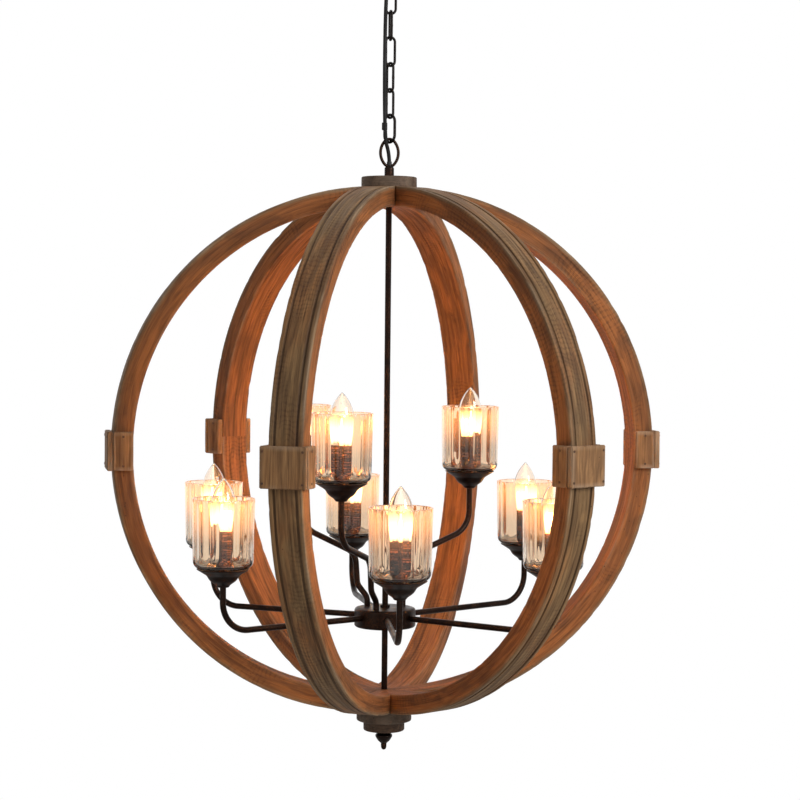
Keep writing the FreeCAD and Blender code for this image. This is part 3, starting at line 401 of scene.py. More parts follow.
# %% Shader group and materials: painted metal
def make_coat_group():
    tree, given, result = new_group(
        "painted metal coat",
        {"Base": ("colour", rgb(40, 30, 24)), "Rubbed": ("colour", rgb(120, 84, 58)),
         "Wear": ("value", 0.3), "Grain": ("value", 900.0), "Gloss": ("value", 0.4)},
        {"Colour": "colour", "Roughness": "value", "Height": "value"})
    place = put(tree, "TexCoord").outputs["Object"]
    clouds = speckle(tree, place, 45.0, 4.0)
    fine = speckle(tree, place, given["Grain"], 2.0, 0.5)
    spots = sums(tree, "MULTIPLY", ramp(tree, fine, 0.52, 0.62),
                 ramp(tree, clouds, 0.36, 0.6, 0.3, 1.0))
    colour = blend_colours(tree, sums(tree, "MULTIPLY", spots, given["Wear"]),
                           given["Base"], given["Rubbed"])
    tone = put(tree, "HueSaturation", None, Color=colour,
               Value=ramp(tree, clouds, 0.25, 0.75, 0.75, 1.25)).outputs[0]
    rough = sums(tree, "ADD_", given["Gloss"], ramp(tree, clouds, 0.3, 0.7, -0.08, 0.12))
    height = sums(tree, "ADD", fine, sums(tree, "MULTIPLY", clouds, 0.6))
    finish_group(tree, result, Colour=tone, Roughness=rough, Height=height)
    return tree


COAT_GROUP = make_coat_group()


def make_metal(name, metallic, bump_depth=0.05 * MM, **values):
    material, tree, shader = new_material(name)
    coat = use_group(tree, COAT_GROUP, **values)
    dress(tree, shader, coat)
    shader.inputs["Metallic"].default_value = metallic
    bump(tree, shader, coat["Height"], bump_depth, 0.6)
    return material


bronze = make_metal("dark bronze", 0.85, Base=rgb(27, 16, 10), Rubbed=rgb(104, 64, 38),
                    Wear=0.35, Gloss=0.38)
sleeve_bronze = make_metal("speckled sleeve bronze", 0.8, 0.09 * MM, Base=rgb(30, 16, 10),
                           Rubbed=rgb(196, 122, 76), Wear=1.0, Grain=420.0, Gloss=0.5)
black_iron = make_metal("black iron", 0.8, Base=rgb(22, 18, 16), Rubbed=rgb(70, 58, 48),
                        Wear=0.25, Grain=500.0, Gloss=0.42)
zinc = make_metal("zinc plate", 1.0, Base=rgb(176, 176, 170), Rubbed=rgb(210, 205, 190),
                  Wear=0.4, Gloss=0.3)
nail_iron = make_metal("nail iron", 0.4, Base=rgb(80, 55, 37), Rubbed=rgb(112, 74, 48),
                       Wear=0.8, Gloss=0.5)
brass = make_metal("lamp cap brass", 1.0, Base=rgb(196, 160, 96), Rubbed=rgb(222, 196, 140),
                   Wear=0.5, Gloss=0.28)
print("metals", [m.name for m in (bronze, sleeve_bronze, black_iron, zinc, nail_iron, brass)])


# %% [markdown]
# ## Plastic parts
# The cord's jacket, the bushing, the sockets and the twist-on connectors are moulded. Moulded
# parts are even in colour but not in gloss: a faint orange-peel keeps highlights soft.

# %% Shader group and materials: moulded plastic
def make_mould_group():
    tree, given, result = new_group(
        "moulded skin", {"Base": ("colour", rgb(30, 30, 30)), "Gloss": ("value", 0.45)},
        {"Colour": "colour", "Roughness": "value", "Height": "value"})
    place = put(tree, "TexCoord").outputs["Object"]
    peel = speckle(tree, place, 1400.0, 1.0)
    dust = speckle(tree, place, 60.0, 3.0)
    tone = put(tree, "HueSaturation", None, Color=given["Base"],
               Value=ramp(tree, dust, 0.3, 0.75, 0.85, 1.25)).outputs[0]
    rough = sums(tree, "ADD_", given["Gloss"], ramp(tree, dust, 0.3, 0.7, -0.06, 0.14))
    finish_group(tree, result, Colour=tone, Roughness=rough, Height=peel)
    return tree


MOULD_GROUP = make_mould_group()


def make_plastic(name, **values):
    material, tree, shader = new_material(name)
    skin = use_group(tree, MOULD_GROUP, **values)
    dress(tree, shader, skin)
    shader.inputs["Specular IOR Level"].default_value = 0.3
    bump(tree, shader, skin["Height"], 0.03 * MM, 0.5)
    return material


cord_jacket = make_plastic("cord jacket", Base=rgb(14, 12, 11), Gloss=0.62)
black_nylon = make_plastic("black nylon", Base=rgb(28, 26, 25), Gloss=0.42)
tan_plastic = make_plastic("tan connector plastic", Base=rgb(190, 142, 92), Gloss=0.4)
socket_plastic = make_plastic("socket plastic", Base=rgb(38, 33, 30), Gloss=0.5)
print("plastics ready")


# %% [markdown]
# ## Glass that glows, with painted light on the shades
# Clear glass is mostly what it shows through. Lit from inside, the thick fluted wall also catches
# the bulb's warm light. We keep a transmitting glass and, on the shades, paint that caught light
# in as a faint warm emission that fades with the distance from the flame, with a peach tint that
# also stands in for it. The bulbs' glass gets the same emission as part of their lamp. Light from
# the lamps passes straight through the wall, because a renderer would otherwise take minutes to
# find its way through the flutes.

# %% Shader group: warmth of a lamp in its glass, painted as glow on the shades
def make_warmth_group():
    tree, given, result = new_group(
        "lamp warmth",
        {"Height": ("value", 0.07), "Reach": ("value", 0.05), "Tint": ("colour", rgb(255, 190, 130))},
        {"Colour": "colour"})
    rise = put(tree, "SeparateXYZ", None, Vector=put(tree, "TexCoord").outputs["Object"]).outputs[2]
    distance = sums(tree, "ABSOLUTE", sums(tree, "SUBTRACT", rise, given["Height"]))
    near = sums(tree, "DIVIDE", distance, given["Reach"])
    fade = ramp(tree, near, 0.0, 1.0, 1.0, 0.0)
    colour = blend_colours(tree, fade, (0, 0, 0, 1), given["Tint"])
    finish_group(tree, result, Colour=colour)
    return tree


WARMTH_GROUP = make_warmth_group()


def make_glass(name, tint, roughness, glow, pass_colour, **warmth):
    material, tree, shader = new_material(name)
    shader.inputs["Base Color"].default_value = tint
    shader.inputs["Transmission Weight"].default_value = 1.0
    shader.inputs["Roughness"].default_value = roughness
    shader.inputs["IOR"].default_value = 1.48
    glow_colour = use_group(tree, WARMTH_GROUP, **warmth)["Colour"]
    tree.links.new(glow_colour, shader.inputs["Emission Color"])
    shader.inputs["Emission Strength"].default_value = glow
    passing = put(tree, "BsdfTransparent", None, Color=pass_colour)
    rays = tree.nodes.new("ShaderNodeLightPath")
    choice = put(tree, "MixShader", None, Fac=rays.outputs["Is Shadow Ray"],
                 i1=shader.outputs[0], i2=passing.outputs[0])
    tree.links.new(choice.outputs[0], tree.nodes["Material Output"].inputs["Surface"])
    return material


# painted light: the shade's peach tint and warm emission stand in for the bulb's light caught in the glass
shade_glass = make_glass("fluted glass", (0.90, 0.76, 0.62, 1), 0.02, 0.17, (0.97, 0.93, 0.88, 1),
                         Height=0.080, Reach=0.052, Tint=rgb(255, 168, 96))
bulb_glass = make_glass("bulb glass", (0.99, 0.93, 0.86, 1), 0.0, 1.5, (1, 0.97, 0.93, 1),
                        Height=0.066, Reach=0.034, Tint=rgb(255, 208, 146))


def make_flame():
    material, tree, shader = new_material("lit filament")
    shader.inputs["Base Color"].default_value = rgb(255, 214, 150)
    glow = use_group(tree, WARMTH_GROUP, Height=0.070, Reach=0.06, Tint=rgb(255, 226, 178))
    tree.links.new(glow["Colour"], shader.inputs["Emission Color"])
    shader.inputs["Emission Strength"].default_value = 6.0
    return material


lit_filament = make_flame()
print("glass and flame ready")


# %% [markdown]
# ## Shapes from outlines
# Nearly everything here is either turned, as on a lathe, or bent from rod or tube. Two functions
# make those shapes: one spins an outline round an upright axis, the other carries a round section
# along a line of points. Both lay points in rows, so a third function joins rows into faces.

# %% Mesh helpers
def faces_between(rows, columns, close_rows=False, close_columns=True):
    """Four-sided faces over a grid of points."""
    faces = []
    for r in range(rows if close_rows else rows - 1):
        for c in range(columns if close_columns else columns - 1):
            after, beside = (r + 1) % rows, (c + 1) % columns
            faces.append((r * columns + c, r * columns + beside,
                          after * columns + beside, after * columns + c))
    return faces


def make_mesh(name, points, faces, material, merge=1e-7):
    """A mesh with its faces turned outwards and its shading smooth except at sharp corners."""
    mesh = bpy.data.meshes.new(name)
    mesh.from_pydata([tuple(p) for p in points], [], faces)
    work = bmesh.new()
    work.from_mesh(mesh)
    bmesh.ops.remove_doubles(work, verts=work.verts, dist=merge)
    bmesh.ops.recalc_face_normals(work, faces=work.faces)
    for face in work.faces:
        face.smooth = True
    for edge in work.edges:
        if len(edge.link_faces) == 2 and edge.calc_face_angle(0) > math.radians(40):
            edge.smooth = False
    work.to_mesh(mesh)
    work.free()
    mesh.materials.append(material)
    return mesh


def place_piece(name, mesh, body, nodes=(), at=(0, 0, 0), spin=0.0):
    """An object for a mesh, riding on a body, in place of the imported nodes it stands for."""
    piece = bpy.data.objects.new(name, mesh)
    bpy.context.collection.objects.link(piece)
    piece.matrix_world = Matrix.Translation(at) @ Matrix.Rotation(spin, 4, "Z")
    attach(piece, body)
    if nodes:
        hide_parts(*nodes)
    return piece


def rounded(outline, radius, steps=4, closed=False):
    """The outline with its corners rounded. A corner may carry its own radius as a third number."""
    count = len(outline)
    result = []
    for i, corner in enumerate(outline):
        here = Vector(corner[:2])
        if not closed and i in (0, count - 1):
            result.append(here)
            continue
        before = Vector(outline[i - 1][:2])
        after = Vector(outline[(i + 1) % count][:2])
        reach = corner[2] if len(corner) > 2 else radius
        reach = min(reach, (before - here).length * 0.49, (after - here).length * 0.49)
        start = here + (before - here).normalized() * reach
        end = here + (after - here).normalized() * reach
        for k in range(steps + 1):
            t = k / steps
            result.append(start * (1 - t) ** 2 + here * (2 * t * (1 - t)) + end * t**2)
    return result


def turned(outline, sides=64, wave=None):
    """Points and faces of an outline of radius and height, spun round the upright axis."""
    points = []
    for radius, height in outline:
        for k in range(sides):
            angle = 2 * math.pi * k / sides
            r = radius + (wave(angle, radius, height) if wave else 0.0)
            points.append((r * math.cos(angle), r * math.sin(angle), height))
    return points, faces_between(len(outline), sides)


def swept(path, radius, sides=20, closed=False, caps=True):
    """Points and faces of a round section carried along a path."""
    path = [Vector(p) for p in path]
    count = len(path)
    tangents = []
    for i in range(count):
        before = path[i - 1] if closed or i > 0 else path[i]
        after = path[(i + 1) % count] if closed or i < count - 1 else path[i]
        tangents.append((after - before).normalized())
    side = tangents[0].orthogonal().normalized()
    points = []
    for i in range(count):
        side = (side - tangents[i] * side.dot(tangents[i])).normalized()
        up = tangents[i].cross(side)
        r = radius(i / max(1, count - 1)) if callable(radius) else radius
        for k in range(sides):
            angle = 2 * math.pi * k / sides
            points.append(path[i] + side * (r * math.cos(angle)) + up * (r * math.sin(angle)))
    faces = faces_between(count, sides, close_rows=closed)
    if caps and not closed:
        faces.append(tuple(range(sides)))
        faces.append(tuple(range((count - 1) * sides, count * sides)))
    return points, faces


def join_shapes(shapes):
    """Several lists of points and faces as one."""
    points, faces = [], []
    for some_points, some_faces in shapes:
        start = len(points)
        points += list(some_points)
        faces += [tuple(i + start for i in face) for face in some_faces]
    return points, faces


def moved(shape, matrix):
    return [matrix @ Vector(p) for p in shape[0]], shape[1]


def store_wood(mesh, places, marks):
    """Keeps each point's place in its board and its marks on the mesh, for the wood group."""
    for name, values in (("grain_place", places), ("wear_and_groove_shade_marks", marks)):
        store = mesh.attributes.new(name, "FLOAT_VECTOR", "POINT")
        store.data.foreach_set("vector", np.array(values, np.float32).ravel())


print("mesh helpers ready")


# %% [markdown]
# ## A rib, bent to a quarter ring
# A rib could be a curve with a bevel profile, but then every centimetre of it would be the same.
# We lay the section at many stations along the arc ourselves, so that each station can differ:
# dents, chipped edges and a slight wave, all cut inwards. Near the pole, the section is pared
# back to the mitre planes where it meets its neighbours. Each point also stores its place in the
# board and its marks, which the wood group reads.

# %% Rib sizes and section
ARC_RADIUS = 383 * MM
ARC_OFFSET = 17 * MM
RIB_WIDTH = 47.4 * MM
RIB_THICKNESS = 29 * MM
GROOVE_INSET = 8 * MM
GROOVE_WIDTH = 2 * MM
POLE_FLAT = 0.8 * MM
AXIS_GAP = 4.7 * MM
STATION_STEP = 4 * MM
BOARD_ACROSS, BOARD_THROUGH = 0.31, 0.17  # each rib's board lies elsewhere in the timber


def rib_section():
    """Across and depth of the section's points, going round, with the long faces divided."""
    edge = RIB_WIDTH / 2
    near = edge - GROOVE_INSET + GROOVE_WIDTH / 2
    far = edge - GROOVE_INSET - GROOVE_WIDTH / 2
    slope = 0.9 * MM
    half = [(far - slope, 0, 1 * MM), (far, 2 * MM, 0.6 * MM), (near, 2 * MM, 0.6 * MM),
            (near + slope, 0, 1 * MM),
            (edge, 0, 1.8 * MM), (edge, RIB_THICKNESS, 2.4 * MM)]
    other = [(-x, y, r) for x, y, r in reversed(half)]
    outline = rounded(half + other, 1 * MM, 3, closed=True)
    divided = []
    for here, after in zip(outline, outline[1:] + outline[:1]):
        parts = max(1, round((after - here).length / (4 * MM)))
        divided += [here.lerp(after, k / parts) for k in range(parts)]
    return divided


SECTION = rib_section()
SECTION_CORNERS = [Vector((x * RIB_WIDTH / 2, y * RIB_THICKNESS)) for x in (-1, 1) for y in (0, 1)]


def section_marks(point):
    """How much a point of the section faces out, lies on an edge, and lies in a groove, where shade is
    painted.
    """
    outside = 1.0 if point.y < 2.1 * MM else max(0.0, 0.35 - point.y / RIB_THICKNESS)
    corner = min((point - c).length for c in SECTION_CORNERS)
    groove_shade = 1.0 if 0.3 * MM < point.y < 2.2 * MM and abs(point.x) < RIB_WIDTH / 2 - 4 * MM else 0.0
    return outside, max(0.0, 1 - corner / (3.2 * MM)), groove_shade


SECTION_MARKS = [section_marks(p) for p in SECTION]
print("section points", len(SECTION))


# %% Quarter ribs
def wear_depth(along, point, marks, seed):
    """How far the weather and the tools have taken the surface back at a point."""
    where = Vector((along, point.x, point.y))
    wave = 0.2 * MM * (0.5 + 0.5 * noise.noise(where * 14 + seed))
    dent_at = Vector((along * 60, point.x * 160, point.y * 160)) + seed
    dents = 0.5 * MM * max(0.0, noise.noise(dent_at) - 0.25)
    chip_at = Vector((along * 70, point.x * 30, point.y * 30)) + seed * 2
    chip = max(0.0, noise.noise(chip_at) - 0.2)
    return wave + dents + marks[1] * chip * 2.4 * MM


def quarter_rib(name, bearing, upwards, seed):
    sign = 1 if upwards else -1
    last = math.pi / 2 + math.asin(ARC_OFFSET / (ARC_RADIUS - RIB_THICKNESS))
    stations = round(last * ARC_RADIUS / STATION_STEP)
    centre = Vector((0, RIB_THICKNESS / 2))
    shift = Vector((seed * 1.37, seed * 0.71, seed * 2.3))
    points, places = [], []
    for i in range(stations + 1):
        angle = last * i / stations
        along = angle * ARC_RADIUS
        for point, marks in zip(SECTION, SECTION_MARKS):
            inward = (centre - point).normalized()
            pared = point + inward * wear_depth(along, point, marks, shift)
            radius = ARC_RADIUS - pared.y
            out = max(ARC_OFFSET + radius * math.cos(angle), AXIS_GAP)
            limit = out * math.tan(math.radians(30))
            across = max(-limit, min(limit, pared.x))
            rise = min(radius * math.sin(angle), ARC_RADIUS - POLE_FLAT)
            points.append((out, across, sign * rise))
            places.append((along, across + seed * BOARD_ACROSS, pared.y + seed * BOARD_THROUGH))
    columns = len(SECTION)
    faces = faces_between(stations + 1, columns)
    faces += [tuple(range(columns)), tuple(range(stations * columns, (stations + 1) * columns))]
    mesh = make_mesh(name, points, faces, rib_wood, merge=0)
    mesh.transform(Matrix.Translation((0, 0, ORB_Z)) @ Matrix.Rotation(bearing, 4, "Z"))
    store_wood(mesh, places, SECTION_MARKS * (stations + 1))
    return mesh


for i, bearing in enumerate(RIB_BEARINGS):
    for upwards in (True, False):
        name = f"rib_{i + 1}_{'upper' if upwards else 'lower'}_quarter"
        mesh = quarter_rib(name, bearing, upwards, 1.0 + i * 2 + upwards)
        place_piece(name, mesh, "fixture", (f"rib_{i + 1}",))
print("ribs", RIBS * 2, "quarters")


# %% [markdown]
# ## Cleats and turned ends
# Each rib joint is covered by a face board and two cheeks. A board is a box with its edges
# broken, cut into small faces so that it can be dented like the ribs. Its grain runs upright, as
# on the ribs. The discs at the poles are turned from the same wood, so their outlines are spun.

# %% Boards of the cleats
def board_shape(size, cells=8):
    """A box with rounded edges, divided into small faces."""
    work = bmesh.new()
    bmesh.ops.create_cube(work, size=1)
    bmesh.ops.scale(work, vec=size, verts=work.verts)
    bmesh.ops.bevel(work, geom=work.edges[:], offset=1.1 * MM, segments=2, affect="EDGES")
    long_edges = [e for e in work.edges if e.calc_length() > 6 * MM]
    bmesh.ops.subdivide_edges(work, edges=long_edges, cuts=cells, use_grid_fill=True)
    points = [v.co.copy() for v in work.verts]
    faces = [tuple(v.index for v in f.verts) for f in work.faces]
    work.free()
    return points, faces


CLEAT_LOW, CLEAT_HIGH = ends("equator_cleats")
CLEAT_HEIGHT = CLEAT_HIGH - CLEAT_LOW
CLEAT_WIDTH = 64.5 * MM
FACE_RADIUS = 400 * MM
FACE_THICKNESS = 8.4 * MM
CHEEK_THICKNESS = (CLEAT_WIDTH - RIB_WIDTH) / 2
CHEEK_DEPTH = 29 * MM
EDGE_TRIM = 0.15 * MM


def make_cleats():
    shapes, places, marks = [], [], []
    for i, bearing in enumerate(RIB_BEARINGS):
        turn = Matrix.Translation((0, 0, ORB_Z)) @ Matrix.Rotation(bearing, 4, "Z")
        cheek_side = (RIB_WIDTH + CHEEK_THICKNESS) / 2
        cheek_at = FACE_RADIUS - CHEEK_DEPTH / 2
        boards = [((FACE_THICKNESS, CLEAT_WIDTH, CLEAT_HEIGHT),
                   (FACE_RADIUS + FACE_THICKNESS / 2, 0, 0))]
        boards += [((CHEEK_DEPTH, CHEEK_THICKNESS, CLEAT_HEIGHT), (cheek_at, side * cheek_side, 0))
                   for side in (-1, 1)]
        for j, (size, at) in enumerate(boards):
            trimmed = tuple(s - 2 * EDGE_TRIM for s in size)
            points, faces = board_shape(trimmed)
            seed = 3.1 * i + 1.3 * j
            for p in points:
                rough = noise.noise(Vector((p.x * 90, p.y * 90, p.z * 30 + seed * 5)))
                edges = sum(abs(abs(p[a]) - trimmed[a] / 2) < 1.5 * MM for a in range(3))
                p *= 1 - 0.006 * max(0.0, rough) * (3 if edges > 1 else 1)
                places.append((p.z + seed, p.y + seed * 0.21, p.x + seed * 0.4))
                marks.append((1.0 if j == 0 else 0.3, 1.0 if edges > 1 else 0.0, 0.0))
            shapes.append(moved((points, faces), turn @ Matrix.Translation(at)))
    points, faces = join_shapes(shapes)
    mesh = make_mesh("equator_cleat_boards", points, faces, cleat_wood, merge=0)
    store_wood(mesh, places, marks)
    return mesh


place_piece("cleat_boards", make_cleats(), "fixture", ("equator_cleats",))
print("cleat boards", RIBS * 3)


# %% Turned discs at the poles
def turned_wood_piece(name, node, outline, wear=0.35 * MM):
    """A turned wooden piece whose grain lies level, so that end grain shows on two sides."""
    def dent(angle, radius, height):
        if radius < 6 * MM:
            return 0.0
        at = Vector((math.cos(angle) * 3, math.sin(angle) * 3, height * 90))
        return -wear * max(0.0, noise.noise(at))
    points, faces = turned(outline, 96, dent)
    mesh = make_mesh(name, points, faces, turned_wood)
    places = [(v.co.x, v.co.y, v.co.z) for v in mesh.vertices]
    top = max(p[2] for p in places)
    marks = [(0.7, 0.6 if math.hypot(*p[:2]) > 38 * MM and abs(p[2] - top) > 1 * MM else 0.1, 0)
             for p in places]
    store_wood(mesh, places, marks)
    return place_piece(name, mesh, "fixture", (node,))


HOLE = 4.5 * MM
DISC = 40.5 * MM
STEP = 30.25 * MM
low, high = ends("top_disc")
turned_wood_piece("pole_disc", "top_disc", rounded(
    [(HOLE, low), (DISC - 0.3 * MM, low), (DISC, low + 0.6 * MM), (DISC, high, 2 * MM), (HOLE, high)],
    1 * MM))
low, high = ends("bottom_cap")
step = high - 17.3 * MM
turned_wood_piece("stepped_cap", "bottom_cap", rounded(
    [(HOLE, high), (DISC, high, 1 * MM), (DISC, step, 2.5 * MM), (STEP + 1.5 * MM, step, 0.8 * MM),
     (STEP, step - 1.2 * MM, 0.6 * MM), (STEP, low, 2 * MM), (HOLE, low)], 1 * MM))
print("pole discs turned")


# %% [markdown]
# ## Lamps
# A lamp is a stack: a pressed dish and bowl, a candle sleeve, the socket inside it, a tumbler of
# fluted glass and a pointed bulb. All nine are alike, so each shape is made once and the nine
# objects share its mesh. The tumbler's flutes are a wave round the outside of the wall, which
# fades out at the rounded foot. The inside stays smooth, and that difference in thickness is
# what bends the light.

# %% Shades
SHADE_RADIUS = 44 * MM
SHADE_FOOT_RADIUS = 42 * MM
SHADE_HEIGHT = 98 * MM
SHADE_WALL = 3.2 * MM
FLUTES = 16
FLUTE_DEPTH = 1.3 * MM


def flute(angle, radius, height):
    """Broad hollow flutes on the outer wall, with the wall's own fine ridges between them."""
    if radius < SHADE_FOOT_RADIUS - 1.2 * MM or height < 8 * MM:
        return 0.0
    fade = min(1.0, (height - 8 * MM) / (9 * MM))
    fade *= min(1.0, (SHADE_HEIGHT - height) / (3 * MM) + 0.25)
    return -FLUTE_DEPTH * fade * (0.5 + 0.5 * math.cos(FLUTES * angle)) ** 1.6


def shade_outline():
    """Up the outside, over the rim, down the inside and back along the floor."""
    foot, wall, hole = SHADE_FOOT_RADIUS, SHADE_WALL, 11.1 * MM
    lift = SHADE_LIFT
    outline = [(hole, lift), (foot, lift, 12 * MM), (SHADE_RADIUS, SHADE_HEIGHT, 1.2 * MM),
               (SHADE_RADIUS - wall, SHADE_HEIGHT, 1.2 * MM), (foot - wall, lift + 4 * MM, 9 * MM),
               (hole, lift + 4 * MM), (hole, lift)]
    curve = rounded(outline, 0.8 * MM, 7)
    divided = []
    for here, after in zip(curve, curve[1:]):
        parts = max(1, round((after - here).length / (7 * MM)))
        divided += [here.lerp(after, k / parts) for k in range(parts)]
    return divided + [curve[-1]]


points, faces = turned(shade_outline(), FLUTES * 12, flute)
shade_mesh = make_mesh("tumbler", points, faces, shade_glass)
for i, foot in enumerate(lamp_feet, start=1):
    place_piece(f"glass_shade_{i}", shade_mesh, "fixture", (f"shade_{i}",), foot)
print("shades", len(lamp_feet))

# %% Cups and sleeves
CUP_OUTLINE = [(4.5, -22), (4.5, -26), (8, -26, 1), (10.2, -22.6, 3), (19, -16.4, 5), (22.8, -9.4, 3),
               (36.8, -0.8, 1), (36.8, 0.2, 0.5), (35.4, 0.3, 0.5), (22, -8.2, 3), (17.6, -15.4, 5),
               (9.4, -21.6, 3), (4.5, -22)]
SLEEVE_OUTLINE = [(9.6, -20.3), (10.5, -20.3, 0.3), (10.5, 52.5, 0.4), (9.6, 52.5, 0.3), (9.6, -20.3)]


def millimetres(outline):
    return [tuple(v * MM for v in corner) for corner in outline]


cup_mesh = make_mesh("cup", *turned(rounded(millimetres(CUP_OUTLINE), 0.6 * MM), 72), bronze)
sleeve_mesh = make_mesh("sleeve", *turned(rounded(millimetres(SLEEVE_OUTLINE), 0.3 * MM), 48),
                        sleeve_bronze)
for i, foot in enumerate(lamp_feet, start=1):
    place_piece(f"lamp_cup_{i}", cup_mesh, "fixture", ("shade_cups",), foot)
    place_piece(f"candle_sleeve_{i}", sleeve_mesh, "fixture", ("candle_sleeves",),
                foot)
print("cups and sleeves", 2 * len(lamp_feet))


# %% [markdown]
# ## Bulbs
# The bulb is blown thin: an outer and an inner skin a few tenths of a millimetre apart, drawn
# from one outline that goes up the outside and down the inside. Inside stand a glass stem and
# four lit filaments. Each bulb is one object with three materials, and rides on its own body,
# because it can be taken out.

# %% Bulb shape
CAP_FOOT = 32.3
CAP_REACH = 7.1
STEM_TIP, STEM_REACH = 66, 2.9
STRIP_LOW, STRIP_HIGH, STRIP_REACH = 59.9, 93, 7
GLASS_FOOT = 50.8
GLASS_OUTLINE = [(7.4, 0), (8.2, 3), (11, 9), (14.6, 18), (16.8, 27), (17.4, 36), (16.6, 46),
                 (14.2, 55), (10.4, 63), (6.0, 69.5), (2.6, 73.6), (1.2, 75), (0, 75.6)]


def smooth_outline(outline, steps=4):
    """A soft curve through the points of an outline."""
    points = [Vector(p) for p in outline]
    padded = [points[0] * 2 - points[1]] + points + [points[-1] * 2 - points[-2]]
    result = []
    for a, b, c, d in zip(padded, padded[1:], padded[2:], padded[3:]):
        for k in range(steps):
            t = k / steps
            result.append(0.5 * ((2 * b) + (c - a) * t + (2 * a - 5 * b + 4 * c - d) * t * t
                                 + (3 * b - a - 3 * c + d) * t**3))
    return result + [points[-1]]


def bulb_glass_shape():
    outer = [Vector((max(p.x, 0), p.y + GLASS_FOOT)) * MM for p in smooth_outline(GLASS_OUTLINE)]
    inner = [Vector((max(p.x - 0.7 * MM, 0), p.y - (0.5 if p.x < 4 * MM else 0) * MM))
             for p in reversed(outer)]
    return turned(outer + inner + outer[:1], 56)


def bulb_cap_shape():
    ridges = []
    for k in range(6):
        base = CAP_FOOT + 4 + k * 2.3
        ridges += [(5.3, base), (5.8, base + 0.75), (5.8, base + 1.15), (5.3, base + 1.9)]
    outline = [(0, CAP_FOOT), (1.6, CAP_FOOT), (2.4, CAP_FOOT + 0.8), (3.4, CAP_FOOT + 2.6)]
    outline += [*ridges, (5.8, GLASS_FOOT), (7.0, GLASS_FOOT + 0.1), (7.0, GLASS_FOOT + 1.5),
                (0, GLASS_FOOT + 1.5)]
    return turned(millimetres(outline), 40)


def filament_shape():
    """A glass stem and four lit strips that lean in to the top."""
    stem = turned(millimetres([(0, 52), (4.2, 52.5), (2.2, 58), (1.6, 64), (0, 65)]), 20)
    strips = []
    for k in range(4):
        angle = math.radians(45 + 90 * k)
        foot = Vector((5.2 * math.cos(angle), 5.2 * math.sin(angle), 60)) * MM
        head = Vector((2.6 * math.cos(angle + 0.7), 2.6 * math.sin(angle + 0.7), 92)) * MM
        strips.append(swept([foot.lerp(head, t / 6) for t in range(7)], 1.35 * MM, 12))
    return stem, join_shapes(strips)


def make_bulb_mesh():
    stem, strips = filament_shape()
    parts = [(bulb_glass_shape(), bulb_glass), (bulb_cap_shape(), brass), (stem, bulb_glass),
             (strips, lit_filament)]
    points, faces = join_shapes([shape for shape, _ in parts])
    mesh = make_mesh("candle_bulb", points, faces, bulb_glass)
    for material in (brass, lit_filament):
        mesh.materials.append(material)
    for face in mesh.polygons:
        reach = max(math.hypot(*mesh.vertices[v].co[:2]) for v in face.vertices) / MM
        height = face.center.z / MM
        on_stem = height < STEM_TIP and reach < STEM_REACH
        if height < GLASS_FOOT + 1.6 and reach < CAP_REACH:
            face.material_index = 1
        elif STRIP_LOW < height < STRIP_HIGH and 1.2 < reach < STRIP_REACH and not on_stem:
            face.material_index = 2
    return mesh


bulb_mesh = make_bulb_mesh()
for i, foot in enumerate(lamp_feet, start=1):
    place_piece(f"candle_bulb_{i}", bulb_mesh, f"bulb_{i}", (f"bulb_{i}",), foot)
print("bulbs", len(lamp_feet), "faces each", len(bulb_mesh.polygons))


# %% [markdown]
# ## Tubes of the arms
# Each arm is one tube bent in an upright plane. We give straight runs and corner radii, as a tube
# bender is set up, and turn them into points close enough that no flat shows on the bends. The
# lower arms leave the side of the hub, the upper ones its top.

# %% Arms
TUBE_RADIUS = 4.4 * MM
HUB_LOW, HUB_HIGH = ends("hub_body")
ARM_LEVEL = (HUB_LOW + HUB_HIGH) / 2
ARM_TOP = -10 * MM


def bent_line(corners, radii, step=1.5 * MM):
    """Points along straight runs joined by round bends."""
    corners = [Vector(c) for c in corners]
    points = [corners[0]]
    for before, here, after, radius in zip(corners, corners[1:], corners[2:], radii):
        into, out = (here - before).normalized(), (after - here).normalized()
        turn = into.angle(out)
        trim = radius * math.tan(turn / 2)
        centre = here + (out - into).normalized() * (radius / math.cos(turn / 2))
        start = here - into * trim - centre
        normal = into.cross(out).normalized()
        parts = max(4, round(radius * turn / step))
        points += [centre + Matrix.Rotation(turn * k / parts, 3, normal) @ start for k in range(parts + 1)]
    points.append(corners[-1])
    return points


def arm_route(foot, corners):
    """Corners given as distance from the axis and height, on the side of one lamp."""
    side = Vector((foot.x, foot.y, 0)).normalized()
    return [side * out + Vector((0, 0, height)) for out, height in corners]


for i, foot in enumerate(lamp_feet, start=1):
    reach = math.hypot(foot.x, foot.y)
    top = foot.z + ARM_TOP
    if i <= 6:
        node = f"lower_arm_{i}"
        corners = [(37 * MM, ARM_LEVEL), (reach, ARM_LEVEL), (reach, top)]
        radii = [42 * MM]
    else:
        node = f"upper_arm_{i - 6}"
        corners = [(33 * MM, HUB_HIGH - 7 * MM), (33 * MM, HUB_HIGH + 12 * MM),
                   (52 * MM, HUB_HIGH + 30 * MM), (56 * MM, HUB_HIGH + 76 * MM),
                   (reach, HUB_HIGH + 108 * MM), (reach, top)]
        radii = [14 * MM, 14 * MM, 22 * MM, 38 * MM]
    route = bent_line(arm_route(foot, corners), radii)
    mesh = make_mesh(f"{node}_tube", *swept(route, TUBE_RADIUS, 24), bronze)
    place_piece(f"{node}_tube", mesh, "fixture", (node,))
print("arms", len(lamp_feet))


# %% [markdown]
# ## Hub, rod and finial
# The hub is a round box with soft edges, closed by a cover below. The rod runs through it from
# pole to pole, and its lower end carries a small turned knob.

# %% Hub, cover, rod and finial
def bronze_piece(name, shape, node, body="fixture"):
    return place_piece(name, make_mesh(name, *shape, bronze), body, (node,))


